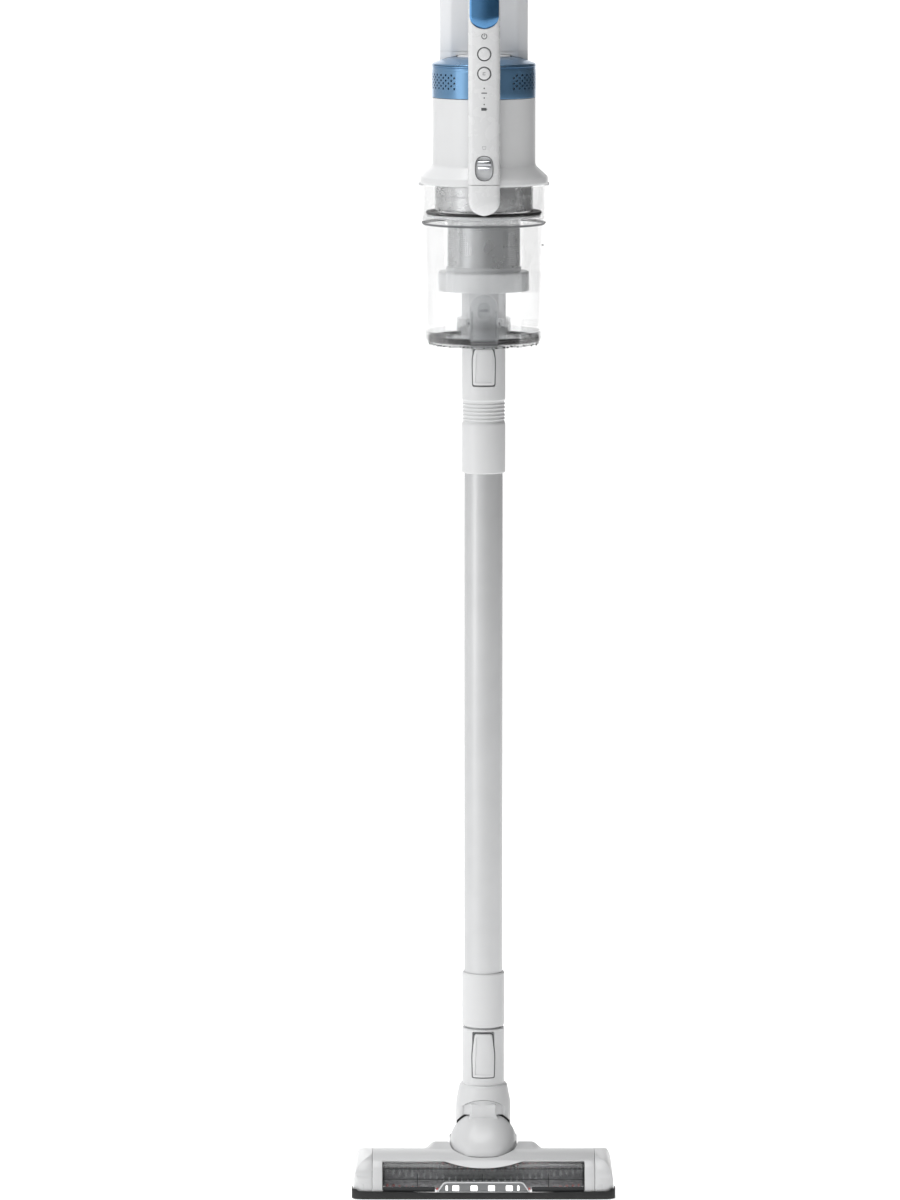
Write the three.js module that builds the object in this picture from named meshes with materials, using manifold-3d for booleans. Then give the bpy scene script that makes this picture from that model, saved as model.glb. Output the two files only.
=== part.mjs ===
// Cordless stick vacuum, standing upright on its floor head.
// Millimetres, +Z up. The front is -Y, and the origin is on the floor under the wand's axis.
import * as THREE from "three";
import { mergeVertices } from "three/addons/utils/BufferGeometryUtils.js";
import Module from "manifold-3d";

// ---- Driving dimensions ----------------------------------------------------------------------

const GAP = 0.3; // clearance between neighbouring pieces
const ROUND = 32; // sides of a large round piece
const SMALL_ROUND = 18; // sides of a small one
const WHEEL_ROUND = 24; // sides of a wheel, with a corner at its lowest point

// Floor head
const HEAD_HALF = 104.7; // half width between the end caps
const CAP_HALF = 122.5; // half width over the end caps
const BUMPER_HALF = 124;
const HEAD_FRONT = -76;
const HEAD_MID_REAR = 20; // rear edge between the wheel pods
const HEAD_TOP_Z = 40.5;
const HUMP_RISE = 6.6; // height of the hump above the cover beside it
const HUMP_HALF = 45;
const SKIN = 2.2; // moulded wall thickness
const BRUSH_Y = -41;
const BRUSH_Z = 17;
const BRUSH_R = 15.5;
const BRUSH_HALF = 93;
const CHAMBER_HALF = 96;
const CHAMBER_R = 16.7;
const WINDOW_HALF = 94.5;
const BELT_X = -114; // middle of the belt's width
const BELT_WIDTH = 6;
const BRUSH_PULLEY_R = 8;
const MOTOR_PULLEY_R = 4;
const BRUSH_MOTOR_Y = 5;
const BRUSH_MOTOR_Z = 18.5;
const BRUSH_MOTOR_R = 9.5;
const WHEEL_X = 89;
const WHEEL_Y = 36;
const WHEEL_R = 11;
const WHEEL_WIDTH = 16;
const POD_INNER = 74;
const POD_OUTER = 104;
const POD_FRONT = 17;
const POD_REAR = 52;
const SOLE_TOP = 4.8;
const GLIDER = 1.6; // height of the gliding feet under the sole plate

// Swivel
const PITCH_Y = 12;
const PITCH_Z = 28;
const TRUNNION_R = 5;
const ROLL_Z = 54;
const DISC_R = 26.1;
const DISC_HALF = 16.1;
const DOME_R = 32.2;
const DOME_Z = 42;
const NOSE_REACH = 1.745; // length of the dome's nose, in radii
const NOSE_FOOT = 36.7;
const TONGUE_HALF = 12.6;
const TONGUE_TOP = 81;
const BOSS_R = 6;

// Neck and wand
const NECK_R = 19.9;
const NECK_TOP = 151.3;
const SPIGOT_R = 16.4;
const SPIGOT_TOP = 196;
const NECK_BORE = 13.5;
const TUBE_R = 18;
const TUBE_BORE = 16.8;
const TUBE_FOOT = 158;
const TUBE_TOP = 745;
const COLLAR_R = 20.1;
const COLLAR_FOOT = 153.1;
const COLLAR_TOP = 204.5;
const FITTING_R = 20.45;
const FITTING_FOOT = 679.8;
const FITTING_TOP = 798;
const SOCKET_R = 17.3;
const LEVER_HALF = 10.9;

// Bin lid and bin
const LID_R = 54.5;
const LID_FLOOR = 803.2;
const LID_BASE = 799.5;
const LID_RIM = 813.6;
const INLET_R = 16.8;
const INLET_BORE = 14.5;
const INLET_FOOT = 752;
const PIN_Y = 60;
const PIN_Z = 811;
const PIN_R = 2;
const KNUCKLE_R = 4;
const BIN_FOOT = 814;
const BIN_TOP = 949.5;
const LATCH_HALF = 13.4;
const LATCH_PIVOT_Z = 825;

// Cyclone and motor unit
const DUCT_R = 20.8;
const DUCT_FOOT = 818.5;
const CASE_R = 48.2;
const FLARE_R = 60.9;
const CASE_FOOT = 950.4;
const BAND_FOOT = 1030.9;
const CAP_FOOT = 1061.2;
const CAP_TOP = 1071;
const CASE_WALL = 2.3;

// Control strip, handle and battery
const STRIP_HALF = 14.7;
const STRIP_FRONT = -66;
const STRIP_BACK = -58;
const STRIP_FOOT = 923.9;
const STRIP_TOP = 1196;
const INSERT_FOOT = 1096.6;
const BUTTON_R = 5.6;
const POWER_Z = 1073.7;
const MODE_Z = 1055.7;
const RECESS_FOOT = 956.7;
const RECESS_TOP = 980.3;
const RECESS_HALF = 8.6;
const GRIP_HALF = 13;
const GRIP_BACK = -35.5;
const HANDLE_TOP = 1234;
const DOCK_HALF = 41;
const DOCK_FRONT = 0;
const DOCK_BACK = 26;
const DOCK_FOOT = 1071.8;
const DOCK_TOP = 1188.5;
const PACK_HALF = 39;
const PACK_BACK = 74.8;
const BUTTON_BACK = 76; // outer face of the battery's release button
const PACK_FOOT = 1076;
const PACK_TOP = 1186;

// ---- Solids ----------------------------------------------------------------------------------

const wasm = await Module();
wasm.setup();

// A closed three.js geometry as a manifold-3d solid that faces outward.
function solid(geometry) {
  const bare = new THREE.BufferGeometry();
  bare.setAttribute("position", geometry.getAttribute("position"));
  bare.setIndex(geometry.index);
  const merged = mergeVertices(bare, 1e-3);
  const corners = merged.index.array;
  const triVerts = [];
  for (let i = 0; i < corners.length; i += 3) {
    const [a, b, c] = corners.slice(i, i + 3);
    if (a !== b && b !== c && c !== a) triVerts.push(a, b, c);
  }
  if (signedVolume(merged.attributes.position, triVerts) < 0) triVerts.reverse();
  const vertProperties = new Float32Array(merged.attributes.position.array);
  return new wasm.Manifold(
    new wasm.Mesh({ numProp: 3, vertProperties, triVerts: new Uint32Array(triVerts) }),
  );
}

function signedVolume(position, triVerts) {
  const corner = (index) => new THREE.Vector3().fromBufferAttribute(position, index);
  let volume = 0;
  for (let i = 0; i < triVerts.length; i += 3) {
    const [a, b, c] = [0, 1, 2].map((k) => corner(triVerts[i + k]));
    volume += a.dot(b.cross(c));
  }
  return volume;
}

function geometryOf(body) {
  const { vertProperties, triVerts } = body.getMesh();
  const geometry = new THREE.BufferGeometry();
  geometry.setAttribute("position", new THREE.BufferAttribute(new Float32Array(vertProperties), 3));
  geometry.setIndex(new THREE.BufferAttribute(new Uint32Array(triVerts), 1));
  geometry.computeVertexNormals();
  return geometry;
}

const join = (...bodies) => bodies.reduce((all, body) => all.add(body));
const cut = (body, ...tools) => tools.reduce((left, tool) => left.subtract(tool), body);

// A box between two corners.
function block([x0, y0, z0], [x1, y1, z1]) {
  const box = new THREE.BoxGeometry(x1 - x0, y1 - y0, z1 - z0);
  box.translate((x0 + x1) / 2, (y0 + y1) / 2, (z0 + z1) / 2);
  return solid(box);
}

// The same block on both sides of the middle plane x = 0.
function blockPair([x0, y0, z0], [x1, y1, z1]) {
  return join(block([x0, y0, z0], [x1, y1, z1]), block([-x1, y0, z0], [-x0, y1, z1]));
}

// A profile of [radius, height] points turned about the Z axis. One that doesn't start on the axis
// closes on itself.
function turned(profile, sides = ROUND) {
  const points = profile.map(([r, z]) => new THREE.Vector2(r, z));
  if (profile[0][0] > 0) points.push(points[0].clone());
  return solid(new THREE.LatheGeometry(points, sides).rotateX(Math.PI / 2));
}

function ring(outer, inner, foot, top, sides = ROUND) {
  return turned([[inner, foot], [outer, foot], [outer, top], [inner, top]], sides);
}

// A round bar along X, Y or Z from one station to the other, with its axis through centre.
function bar(axis, radius, from, to, centre = [0, 0, 0], sides = SMALL_ROUND) {
  const cylinder = new THREE.CylinderGeometry(radius, radius, to - from, sides);
  if (axis === "x") cylinder.rotateZ(Math.PI / 2);
  if (axis === "z") cylinder.rotateX(Math.PI / 2);
  const middle = (from + to) / 2;
  const offset = { x: [middle, 0, 0], y: [0, middle, 0], z: [0, 0, middle] }[axis];
  cylinder.translate(...offset);
  cylinder.translate(...centre);
  return solid(cylinder);
}

function outline(points) {
  return new THREE.Shape(points.map(([u, v]) => new THREE.Vector2(u, v)));
}

function extruded(shape, depth, curveSegments) {
  return new THREE.ExtrudeGeometry(shape, { depth, bevelEnabled: false, curveSegments });
}

// A side view of [y, z] points made solid from x0 to x1.
function sideCut(shape, x0, x1, curveSegments = 6) {
  const geometry = extruded(shape, x1 - x0, curveSegments);
  geometry.rotateX(Math.PI / 2);
  geometry.rotateZ(Math.PI / 2);
  return solid(geometry.translate(x0, 0, 0));
}

// A front view of [x, z] points made solid from y0 to y1.
function frontCut(shape, y0, y1, curveSegments = 6) {
  const geometry = extruded(shape, y1 - y0, curveSegments);
  geometry.rotateX(Math.PI / 2);
  return solid(geometry.translate(0, y1, 0));
}

// A plan view of [x, y] points made solid from z0 to z1.
function planCut(shape, z0, z1, curveSegments = 4) {
  return solid(extruded(shape, z1 - z0, curveSegments).translate(0, 0, z0));
}

function roundedRect(u0, v0, u1, v1, r) {
  const shape = new THREE.Shape();
  shape.moveTo(u0 + r, v0);
  shape.lineTo(u1 - r, v0);
  shape.absarc(u1 - r, v0 + r, r, -Math.PI / 2, 0);
  shape.lineTo(u1, v1 - r);
  shape.absarc(u1 - r, v1 - r, r, 0, Math.PI / 2);
  shape.lineTo(u0 + r, v1);
  shape.absarc(u0 + r, v1 - r, r, Math.PI / 2, Math.PI);
  shape.lineTo(u0, v0 + r);
  shape.absarc(u0 + r, v0 + r, r, Math.PI, 1.5 * Math.PI);
  return shape;
}

// ---- Materials -------------------------------------------------------------------------------

function material(color, roughness, metalness = 0, opacity = 1) {
  return new THREE.MeshStandardMaterial({
    color,
    roughness,
    metalness,
    opacity,
    transparent: opacity < 1,
  });
}

const white = material(0xe9eaec, 0.4);
const offWhite = material(0xcfd3d8, 0.45);
const blue = material(0x1f5fae, 0.3, 0.5);
const silver = material(0xb9bdc2, 0.35, 0.6);
const darkGrey = material(0x3a3d42, 0.5);
const black = material(0x17181a, 0.6);
const rubber = material(0x1d1d1f, 0.85);
const clear = material(0xdfe6ec, 0.1, 0, 0.35);
const chrome = material(0xc8cbd0, 0.15, 1);
const steel = material(0x9a9da2, 0.35, 1);
const fibre = material(0x9b3b3f, 0.95);
const foam = material(0x4b5560, 0.95);
const paper = material(0xe4e2da, 0.9);
const board = material(0x1e5c36, 0.6);
const brass = material(0xc9a24a, 0.35, 1);
const lamp = material(0xf6f8ff, 0.2);

function piece(name, body, skin, parent) {
  const mesh = new THREE.Mesh(geometryOf(body), skin);
  mesh.name = name;
  parent.add(mesh);
  return mesh;
}

// ---- Floor head ------------------------------------------------------------------------------

// The tray behind the brush: cradle ears for the swivel, wheel pods and a rear wall.
function chassis() {
  const tray = block([-POD_OUTER, -21, 5.4], [POD_OUTER, HEAD_MID_REAR, 8.4]);
  const ear = outline([[-2, 5.4], [19.4, 5.4], [19.4, 30.6], [16.4, 33], [7, 34.6], [-2, 34.6]]);
  const ears = join(sideCut(ear, 35, 41), sideCut(ear, -41, -35));
  const rearWall = blockPair([41, HEAD_MID_REAR - SKIN, 5.4], [POD_INNER, HEAD_MID_REAR, 25.8]);
  const inner = blockPair([POD_INNER, POD_FRONT, 5.4], [POD_INNER + 3, POD_REAR - 5, 19]);
  const outer = blockPair([POD_OUTER - 3, POD_FRONT, 5.4], [POD_OUTER, POD_REAR - 5, 19]);
  const trunnionHoles = bar("x", TRUNNION_R + GAP, -43, 43, [0, PITCH_Y, PITCH_Z]);
  const axleHoles = bar("x", 2 + GAP, -POD_OUTER - 1, POD_OUTER + 1, [0, WHEEL_Y, WHEEL_R], 12);
  return cut(join(tray, ears, rearWall, inner, outer), trunnionHoles, axleHoles, wheelWells());
}

// The space that the wheels turn in, clear of the tray and the sole plate.
function wheelWells() {
  const half = WHEEL_WIDTH / 2 + 1.4;
  return blockPair([WHEEL_X - half, WHEEL_Y - WHEEL_R - 1.4, -1], [WHEEL_X + half, 60, 12]);
}

// The top wall of the head as a side view: it rises to a crest over the brush and falls away behind.
function coverProfile() {
  const front = [[-61.4, 32.3], [-54, 36.2], [-45, 39.3], [-34, HEAD_TOP_Z]];
  const back = [[0, 33.2], [20, 28.8], [38, 25], [49, 21.6], [POD_REAR, 17], [POD_REAR, 9]];
  const insideBack = [[POD_REAR - SKIN, 9], [POD_REAR - SKIN, 16.4], [47.4, 19.7], [37.6, 22.8], [-0.4, 31]];
  const insideFront = [[-33.8, 38.3], [-44.2, 37], [-53, 34.1], [-60.4, 30.3]];
  return outline([...front, ...back, ...insideBack, ...insideFront]);
}

// The hump over the swivel's ears. It falls to the rear with the cover; depth is how far it goes down.
function hump(inset, rear, depth) {
  const half = HUMP_HALF - inset;
  const foot = HUMP_HALF + 9.5 - inset;
  const rise = HUMP_RISE - inset;
  const slope = (28.8 - HEAD_TOP_Z) / 54;
  const coverZ = (y) => HEAD_TOP_Z + slope * (y + 34);
  const points = [];
  for (const side of [-1, 1]) {
    points.push([side * foot, -34 + inset, coverZ(-34) - inset], [side * foot, rear, coverZ(rear) - inset]);
    points.push([side * half, -18 + inset, coverZ(-18) + rise], [side * half, rear, coverZ(rear) + rise]);
    points.push([side * half, -40 + inset, coverZ(-34) - inset - 0.6]);
    points.push([side * foot, -34 + inset, coverZ(-34) - depth], [side * foot, rear, coverZ(rear) - depth]);
  }
  return wasm.Manifold.hull(points);
}

function headCover() {
  const sheet = sideCut(coverProfile(), -HEAD_HALF, HEAD_HALF);
  const raised = hump(0, HEAD_MID_REAR, 1.8);
  const hollow = hump(SKIN, HEAD_MID_REAR + 1, 16);
  const domeHole = bar("z", DOME_R + 1.2, 0, 60, [0, 0, 0], ROUND);
  const noseHole = nose(1.2).translate(0, 0, -0.8);
  const slot = block([-DOME_R - 1.2, 0, 0], [DOME_R + 1.2, 60, 60]);
  const rearBay = block([-POD_INNER + GAP, HEAD_MID_REAR, 0], [POD_INNER - GAP, 60, 60]);
  return cut(join(sheet, raised), hollow, domeHole, noseHole, slot, rearBay);
}

// The round housing over the brush, open to the floor and to the front window.
function brushChamber() {
  const shape = new THREE.Shape();
  shape.absarc(BRUSH_Y, BRUSH_Z, CHAMBER_R + 1.6, -0.5, 2.05, false);
  shape.absarc(BRUSH_Y, BRUSH_Z, CHAMBER_R, 2.05, -0.5, true);
  const arch = sideCut(shape, -CHAMBER_HALF - 2, CHAMBER_HALF + 2, 10);
  const endShape = roundedRect(BRUSH_Y - 17, 5.4, BRUSH_Y + 18, 31, 8);
  const left = sideCut(endShape, -CHAMBER_HALF - 2, -CHAMBER_HALF, 3);
  const right = sideCut(endShape, CHAMBER_HALF, CHAMBER_HALF + 2, 3);
  const journals = bar("x", 3.5 + GAP, -100, 100, [0, BRUSH_Y, BRUSH_Z], 16);
  const suction = bar("y", 9, -30, -20, [0, 0, 18]);
  return cut(join(arch, left, right), journals, suction);
}

function brushWindow() {
  const shape = outline([
    [-61.4, 31.5], [-67.6, 26], [-71.4, 18.6], [-72.8, 11.8],
    [-70.8, 11.8], [-69.5, 18], [-66, 24.8], [-60.4, 29.6],
  ]);
  const lampNotch = block([-45, -80, 0], [45, -60, 17.4]);
  return cut(sideCut(shape, -WINDOW_HALF, WINDOW_HALF), lampNotch);
}

// A hollow cap over one end of the head, open towards the middle.
function endCap(side) {
  const rim = [[-73.2, 4.2], [-73.3, 12], [-69, 24], [-61.4, 32.5], [-50, 37.8], [-34, HEAD_TOP_Z]];
  const back = [[0, 33.2], [16, 29.7], [HEAD_MID_REAR, 20], [HEAD_MID_REAR, 4.2]];
  const inner = [[-71, 6.7], [-71, 12], [-67, 23], [-60, 30.6], [-49, 35.4], [-33.8, 38]];
  const innerBack = [[-0.4, 30.8], [14.4, 27.4], [17.6, 19.6], [17.6, 6.7]];
  const [x0, x1] = side > 0 ? [105, CAP_HALF] : [-CAP_HALF, -105];
  const [h0, h1] = side > 0 ? [104, CAP_HALF - SKIN] : [-CAP_HALF + SKIN, -104];
  const plan = planCut(roundedRect(-CAP_HALF, -73.3, CAP_HALF, 80, 10.6), 0, 60);
  const shell = sideCut(outline([...rim, ...back]), x0, x1).intersect(plan);
  return cut(shell, sideCut(outline([...inner, ...innerBack]), h0, h1));
}

// A soft strip along the front and round both corners, lower in the middle under the lamp bar.
function bumper() {
  const outer = roundedRect(-BUMPER_HALF, HEAD_FRONT, BUMPER_HALF, 60, 12);
  const inner = roundedRect(-BUMPER_HALF + 1.2, HEAD_FRONT + 2.4, BUMPER_HALF - 1.2, 70, 10.8);
  const strip = cut(planCut(outer, 0.8, 9.4), planCut(inner, -1, 12));
  const rear = block([-130, -58, -1], [130, 80, 20]);
  const lampSeat = block([-44.5, -80, 6.8], [44.5, -70, 20]);
  return cut(strip, rear, lampSeat);
}

function lampBar() {
  const lens = outline([[-43.4, 7.2], [43.4, 7.2], [36.4, 16.9], [-36.4, 16.9]]);
  return frontCut(lens, -75.4, -72.4);
}

function lampBoard() {
  return block([-36, -71.9, 8.4], [36, -70.4, 15.6]);
}

// The bottom plate with the suction mouth and two gliding feet that carry the front.
function solePlate() {
  const plate = block([-HEAD_HALF, -73.2, GLIDER], [HEAD_HALF, HEAD_MID_REAR, SOLE_TOP]);
  const mouth = block([-95, -67, 0], [95, -23, 10]);
  const feet = blockPair([56, -71, 0], [90, -68, GLIDER + 0.2]);
  return join(cut(plate, mouth, wheelWells()), feet);
}

function driveBelt() {
  const far = new THREE.Vector2(BRUSH_MOTOR_Y - BRUSH_Y, BRUSH_MOTOR_Z - BRUSH_Z);
  const lean = Math.acos((BRUSH_PULLEY_R - MOTOR_PULLEY_R) / far.length());
  const heading = far.angle();
  const loop = (extra) => {
    const shape = new THREE.Shape();
    shape.absarc(BRUSH_Y, BRUSH_Z, BRUSH_PULLEY_R + extra, heading + lean, heading - lean + 2 * Math.PI);
    shape.absarc(
      BRUSH_MOTOR_Y, BRUSH_MOTOR_Z, MOTOR_PULLEY_R + extra, heading - lean, heading + lean,
    );
    return shape;
  };
  const outer = sideCut(loop(GAP + 1.3), BELT_X - BELT_WIDTH / 2, BELT_X + BELT_WIDTH / 2, 12);
  const inner = sideCut(loop(GAP), BELT_X - BELT_WIDTH, BELT_X + BELT_WIDTH, 12);
  return cut(outer, inner);
}

// A flanged belt pulley on its own shaft, about the X axis.
function pulley(radius, shaftRadius, shaftEnd) {
  const half = BELT_WIDTH / 2 + 0.5;
  const drum = bar("x", radius, -half, half);
  const flanges = join(
    bar("x", radius + 1.6, -half - 1, -half),
    bar("x", radius + 1.6, half, half + 1),
  );
  return join(drum, flanges, bar("x", shaftRadius, 0, shaftEnd, [0, 0, 0], 12));
}

function buildFloorHead(parent) {
  piece("head_chassis", chassis(), darkGrey, parent);
  piece("head_cover", headCover(), white, parent);
  piece("brush_chamber", brushChamber(), darkGrey, parent);
  piece("brush_window", brushWindow(), clear, parent);
  piece("end_cap_left", endCap(-1), white, parent);
  piece("end_cap_right", endCap(1), white, parent);
  piece("front_bumper", bumper(), rubber, parent);
  piece("lamp_bar", lampBar(), chrome, parent);
  piece("lamp_board", lampBoard(), board, parent);
  piece("sole_plate", solePlate(), darkGrey, parent);
  const motor = bar("x", BRUSH_MOTOR_R, -96, -46, [0, BRUSH_MOTOR_Y, BRUSH_MOTOR_Z]);
  const shaftHole = bar("x", 2 + GAP, -97, -92, [0, BRUSH_MOTOR_Y, BRUSH_MOTOR_Z], 12);
  piece("brush_motor", cut(motor, shaftHole), steel, parent);
  piece("drive_belt", driveBelt(), rubber, parent);
  const race = bar("x", 8, CHAMBER_HALF + 2 + GAP, 104.4, [0, BRUSH_Y, BRUSH_Z]);
  const journal = bar("x", 3.5 + GAP, 90, 110, [0, BRUSH_Y, BRUSH_Z], 16);
  piece("brush_bearing", cut(race, journal), steel, parent);
}

function buildBrush(parent) {
  const brush = new THREE.Group();
  brush.position.set(0, BRUSH_Y, BRUSH_Z);
  parent.add(brush);
  const core = bar("x", 11, -BRUSH_HALF - 1, BRUSH_HALF + 1);
  const journals = bar("x", 3.5, -109, 104, [0, 0, 0], 16);
  piece("brush_core", join(core, journals), darkGrey, brush);
  const fibres = bar("x", BRUSH_R, -BRUSH_HALF, BRUSH_HALF);
  piece("brush_fibres", cut(fibres, bar("x", 11 + GAP, -100, 100)), fibre, brush);
  const brushPulley = pulley(BRUSH_PULLEY_R, 2, 0.1);
  piece("brush_pulley", brushPulley, offWhite, brush).position.x = BELT_X;
}

function buildMotorPulley(parent) {
  const mesh = piece("motor_pulley", pulley(MOTOR_PULLEY_R, 2, BELT_X * -1 - 93), steel, parent);
  mesh.position.set(BELT_X, BRUSH_MOTOR_Y, BRUSH_MOTOR_Z);
}

function buildWheel(name, side, parent) {
  const group = new THREE.Group();
  group.position.set(side * WHEEL_X, WHEEL_Y, WHEEL_R);
  parent.add(group);
  const half = WHEEL_WIDTH / 2;
  const tread = turned([
    [2 + GAP, -half], [WHEEL_R - 2, -half], [WHEEL_R, -half + 2],
    [WHEEL_R, half - 2], [WHEEL_R - 2, half], [2 + GAP, half],
  ], WHEEL_ROUND);
  piece("wheel_" + name, tread, rubber, group).rotation.y = Math.PI / 2;
  piece("axle_" + name, bar("x", 2, -15, 15, [0, 0, 0], 12), steel, group);
}

// ---- Swivel ----------------------------------------------------------------------------------

// The front of the dome, drawn out into a blunt nose that lies over the brush housing.
function nose(grow) {
  const points = [];
  const height = DOME_Z + DOME_R - NOSE_FOOT;
  for (let level = 0; level <= 8; level++) {
    const up = height * Math.sin((level / 8) * (Math.PI / 2));
    const half = Math.sqrt(DOME_R ** 2 - (NOSE_FOOT + up - DOME_Z) ** 2) || 0.1;
    const reach = half * (1 + (NOSE_REACH - 1) * (1 - up / height) ** 0.8);
    for (let k = 0; k <= 12; k++) {
      const turn = (k / 12) * Math.PI;
      const across = Math.sign(Math.cos(turn)) * Math.abs(Math.cos(turn)) ** 0.72;
      const forward = Math.sin(turn) ** 0.72;
      points.push([(half + grow) * across, -(reach + grow) * forward, NOSE_FOOT + up]);
    }
  }
  return wasm.Manifold.hull(points);
}

// The domed elbow: a barrel that pitches in the head, and a slot that holds the neck's disc.
function swivelElbow() {
  const dome = solid(new THREE.SphereGeometry(DOME_R, 24, 12).translate(0, 0, DOME_Z));
  const underDome = block([-50, -50, -10], [50, 50, 33.6]);
  const barrel = bar("x", 17, -DOME_R, DOME_R, [0, PITCH_Y, PITCH_Z]);
  const trunnions = bar("x", TRUNNION_R, -40.6, 40.6, [0, PITCH_Y, PITCH_Z]);
  const tongueShape = roundedRect(-TONGUE_HALF, 40, TONGUE_HALF, TONGUE_TOP, 5);
  const frontTongue = frontCut(tongueShape, -24, -DISC_HALF - GAP, 3);
  const rearTongue = frontCut(tongueShape, DISC_HALF + GAP, 24, 3);
  const body = join(cut(dome, underDome), nose(0), barrel, trunnions, frontTongue, rearTongue);
  const slotHalf = DISC_HALF + GAP;
  const discSlot = bar("y", DISC_R + 0.5, -slotHalf, slotHalf, [0, 0, ROLL_Z], ROUND);
  const swing = block([-50, -slotHalf, 40], [50, slotHalf, 90]);
  const bossHoles = bar("y", BOSS_R + GAP, -23.6, 23.6, [0, 0, ROLL_Z]);
  const air = solid(
    new THREE.CylinderGeometry(9, 9, 50, 16).rotateX(-0.95).translate(0, -10, 33),
  );
  return cut(body, discSlot, swing, bossHoles, air);
}

// The neck: a disc that rolls in the elbow, a round body and the spigot that the wand slides on.
function swivelNeck() {
  const body = turned([
    [0, ROLL_Z], [DISC_R, ROLL_Z], [DISC_R, 77], [25.2, 80], [22.4, 84], [20.6, 90],
    [NECK_R, 94.4], [NECK_R, NECK_TOP], [SPIGOT_R, NECK_TOP], [SPIGOT_R, SPIGOT_TOP - 1.5],
    [SPIGOT_R - 1, SPIGOT_TOP], [0, SPIGOT_TOP],
  ]);
  const disc = bar("y", DISC_R, -DISC_HALF, DISC_HALF, [0, 0, ROLL_Z], ROUND);
  const sweep = Math.hypot(TONGUE_TOP - ROLL_Z, TONGUE_HALF) + 1.2;
  const frontRelief = bar("y", sweep, -40, -DISC_HALF, [0, 0, ROLL_Z], ROUND);
  const rearRelief = bar("y", sweep, DISC_HALF, 40, [0, 0, ROLL_Z], ROUND);
  const bosses = bar("y", BOSS_R, -22.8, 22.8, [0, 0, ROLL_Z]);
  const bore = bar("z", NECK_BORE, 0, SPIGOT_TOP + 1);
  const leverSeat = block([-LEVER_HALF - GAP, -30, 104.4], [LEVER_HALF + GAP, -15.2, 149.2]);
  return cut(join(cut(join(body, disc), frontRelief, rearRelief), bosses), bore, leverSeat);
}

// A rocking release lever, pressed at its lower end, with pivot pips on its sides.
function releaseLever(foot, top, pivotZ, front, back) {
  const side = outline([
    [back, foot + 2], [front + 1.2, foot], [front, foot + 3], [front + 0.6, pivotZ],
    [front, top - 3], [front + 1, top], [back, top],
  ]);
  return sideCut(side, -LEVER_HALF, LEVER_HALF);
}

// ---- Wand ------------------------------------------------------------------------------------

function wandCollar() {
  return turned([
    [TUBE_R + GAP, COLLAR_FOOT + 3], [SPIGOT_R + 0.8, COLLAR_FOOT + 3], [SPIGOT_R + 0.8, COLLAR_FOOT],
    [COLLAR_R, COLLAR_FOOT], [COLLAR_R, COLLAR_TOP], [TUBE_R + GAP, COLLAR_TOP],
  ]);
}

// The upper fitting: it grips the tube below and takes the bin's inlet above.
function wandFitting() {
  const sleeve = turned([
    [TUBE_R + GAP, FITTING_FOOT], [FITTING_R, FITTING_FOOT], [FITTING_R, 728], [19.7, 728.6],
    [19.7, 747.2], [FITTING_R, 748.6], [FITTING_R, FITTING_TOP], [SOCKET_R, FITTING_TOP],
    [SOCKET_R, TUBE_TOP + GAP], [TUBE_R + GAP, TUBE_TOP + GAP],
  ]);
  const leverSeat = block([-LEVER_HALF - GAP, -30, 761.5], [LEVER_HALF + GAP, -18.3, 800]);
  return cut(sleeve, leverSeat);
}

function buildWand(parent) {
  piece("wand_tube", ring(TUBE_R, TUBE_BORE, TUBE_FOOT, TUBE_TOP), silver, parent);
  piece("wand_lower_collar", wandCollar(), white, parent);
  piece("wand_upper_fitting", wandFitting(), white, parent);
}

// ---- Bin -------------------------------------------------------------------------------------

// The bin's bottom lid: a dish with the inlet pipe through it and a knuckle for the hinge.
function binLid() {
  const dish = turned([
    [INLET_R + GAP, LID_BASE], [46, LID_BASE], [52, 801.6], [LID_R, 806], [LID_R, LID_RIM],
    [LID_R - SKIN, LID_RIM], [LID_R - SKIN, LID_FLOOR],
    [25, LID_FLOOR], [25, 825], [22.8, 825], [22.8, LID_FLOOR], [INLET_R + GAP, LID_FLOOR],
  ]);
  const web = block([-8, LID_R - 1.5, PIN_Z - 3.6], [8, PIN_Y, PIN_Z + 1]);
  const knuckle = bar("x", KNUCKLE_R, -8, 8, [0, PIN_Y, PIN_Z], 16);
  return cut(join(dish, web, knuckle), bar("x", PIN_R + GAP, -20, 20, [0, PIN_Y, PIN_Z], 12));
}

// The inlet pipe, pressed up through the lid: its flange meets the duct above, its foot the wand.
function lidInletPipe() {
  const seat = LID_FLOOR + GAP;
  const top = DUCT_FOOT - 0.5;
  return turned([
    [INLET_BORE, INLET_FOOT], [INLET_R, INLET_FOOT], [INLET_R, seat], [DUCT_R, seat], [DUCT_R, top],
    [DUCT_R - 1.8, top], [DUCT_R - 1.8, seat + 2], [INLET_BORE, seat + 2],
  ]);
}

// The clear bin with the ears that hold the lid's hinge pin and the latch's pivot brackets.
function binShell() {
  const wall = turned([
    [52.5, BIN_FOOT], [54.7, BIN_FOOT], [56.8, 912], [58.8, 919], [58.8, BIN_TOP],
    [56.5, BIN_TOP], [56.5, 920], [54.6, 913],
  ]);
  const earDiscs = join(
    bar("x", KNUCKLE_R, 8.4, 12, [0, PIN_Y, PIN_Z], 16),
    bar("x", KNUCKLE_R, -12, -8.4, [0, PIN_Y, PIN_Z], 16),
  );
  const earRoots = blockPair([8.4, 53.2, BIN_FOOT + 0.2], [12, PIN_Y + KNUCKLE_R, 824]);
  const earLinks = blockPair([8.4, PIN_Y - 3, PIN_Z], [12, PIN_Y + KNUCKLE_R, 816]);
  const brackets = blockPair([LATCH_HALF + GAP, -60, 821], [LATCH_HALF + 2.6, -51.8, 829]);
  const pinHole = bar("x", PIN_R + GAP, -20, 20, [0, PIN_Y, PIN_Z], 12);
  return cut(join(wall, earDiscs, earRoots, earLinks, brackets), pinHole);
}

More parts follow.
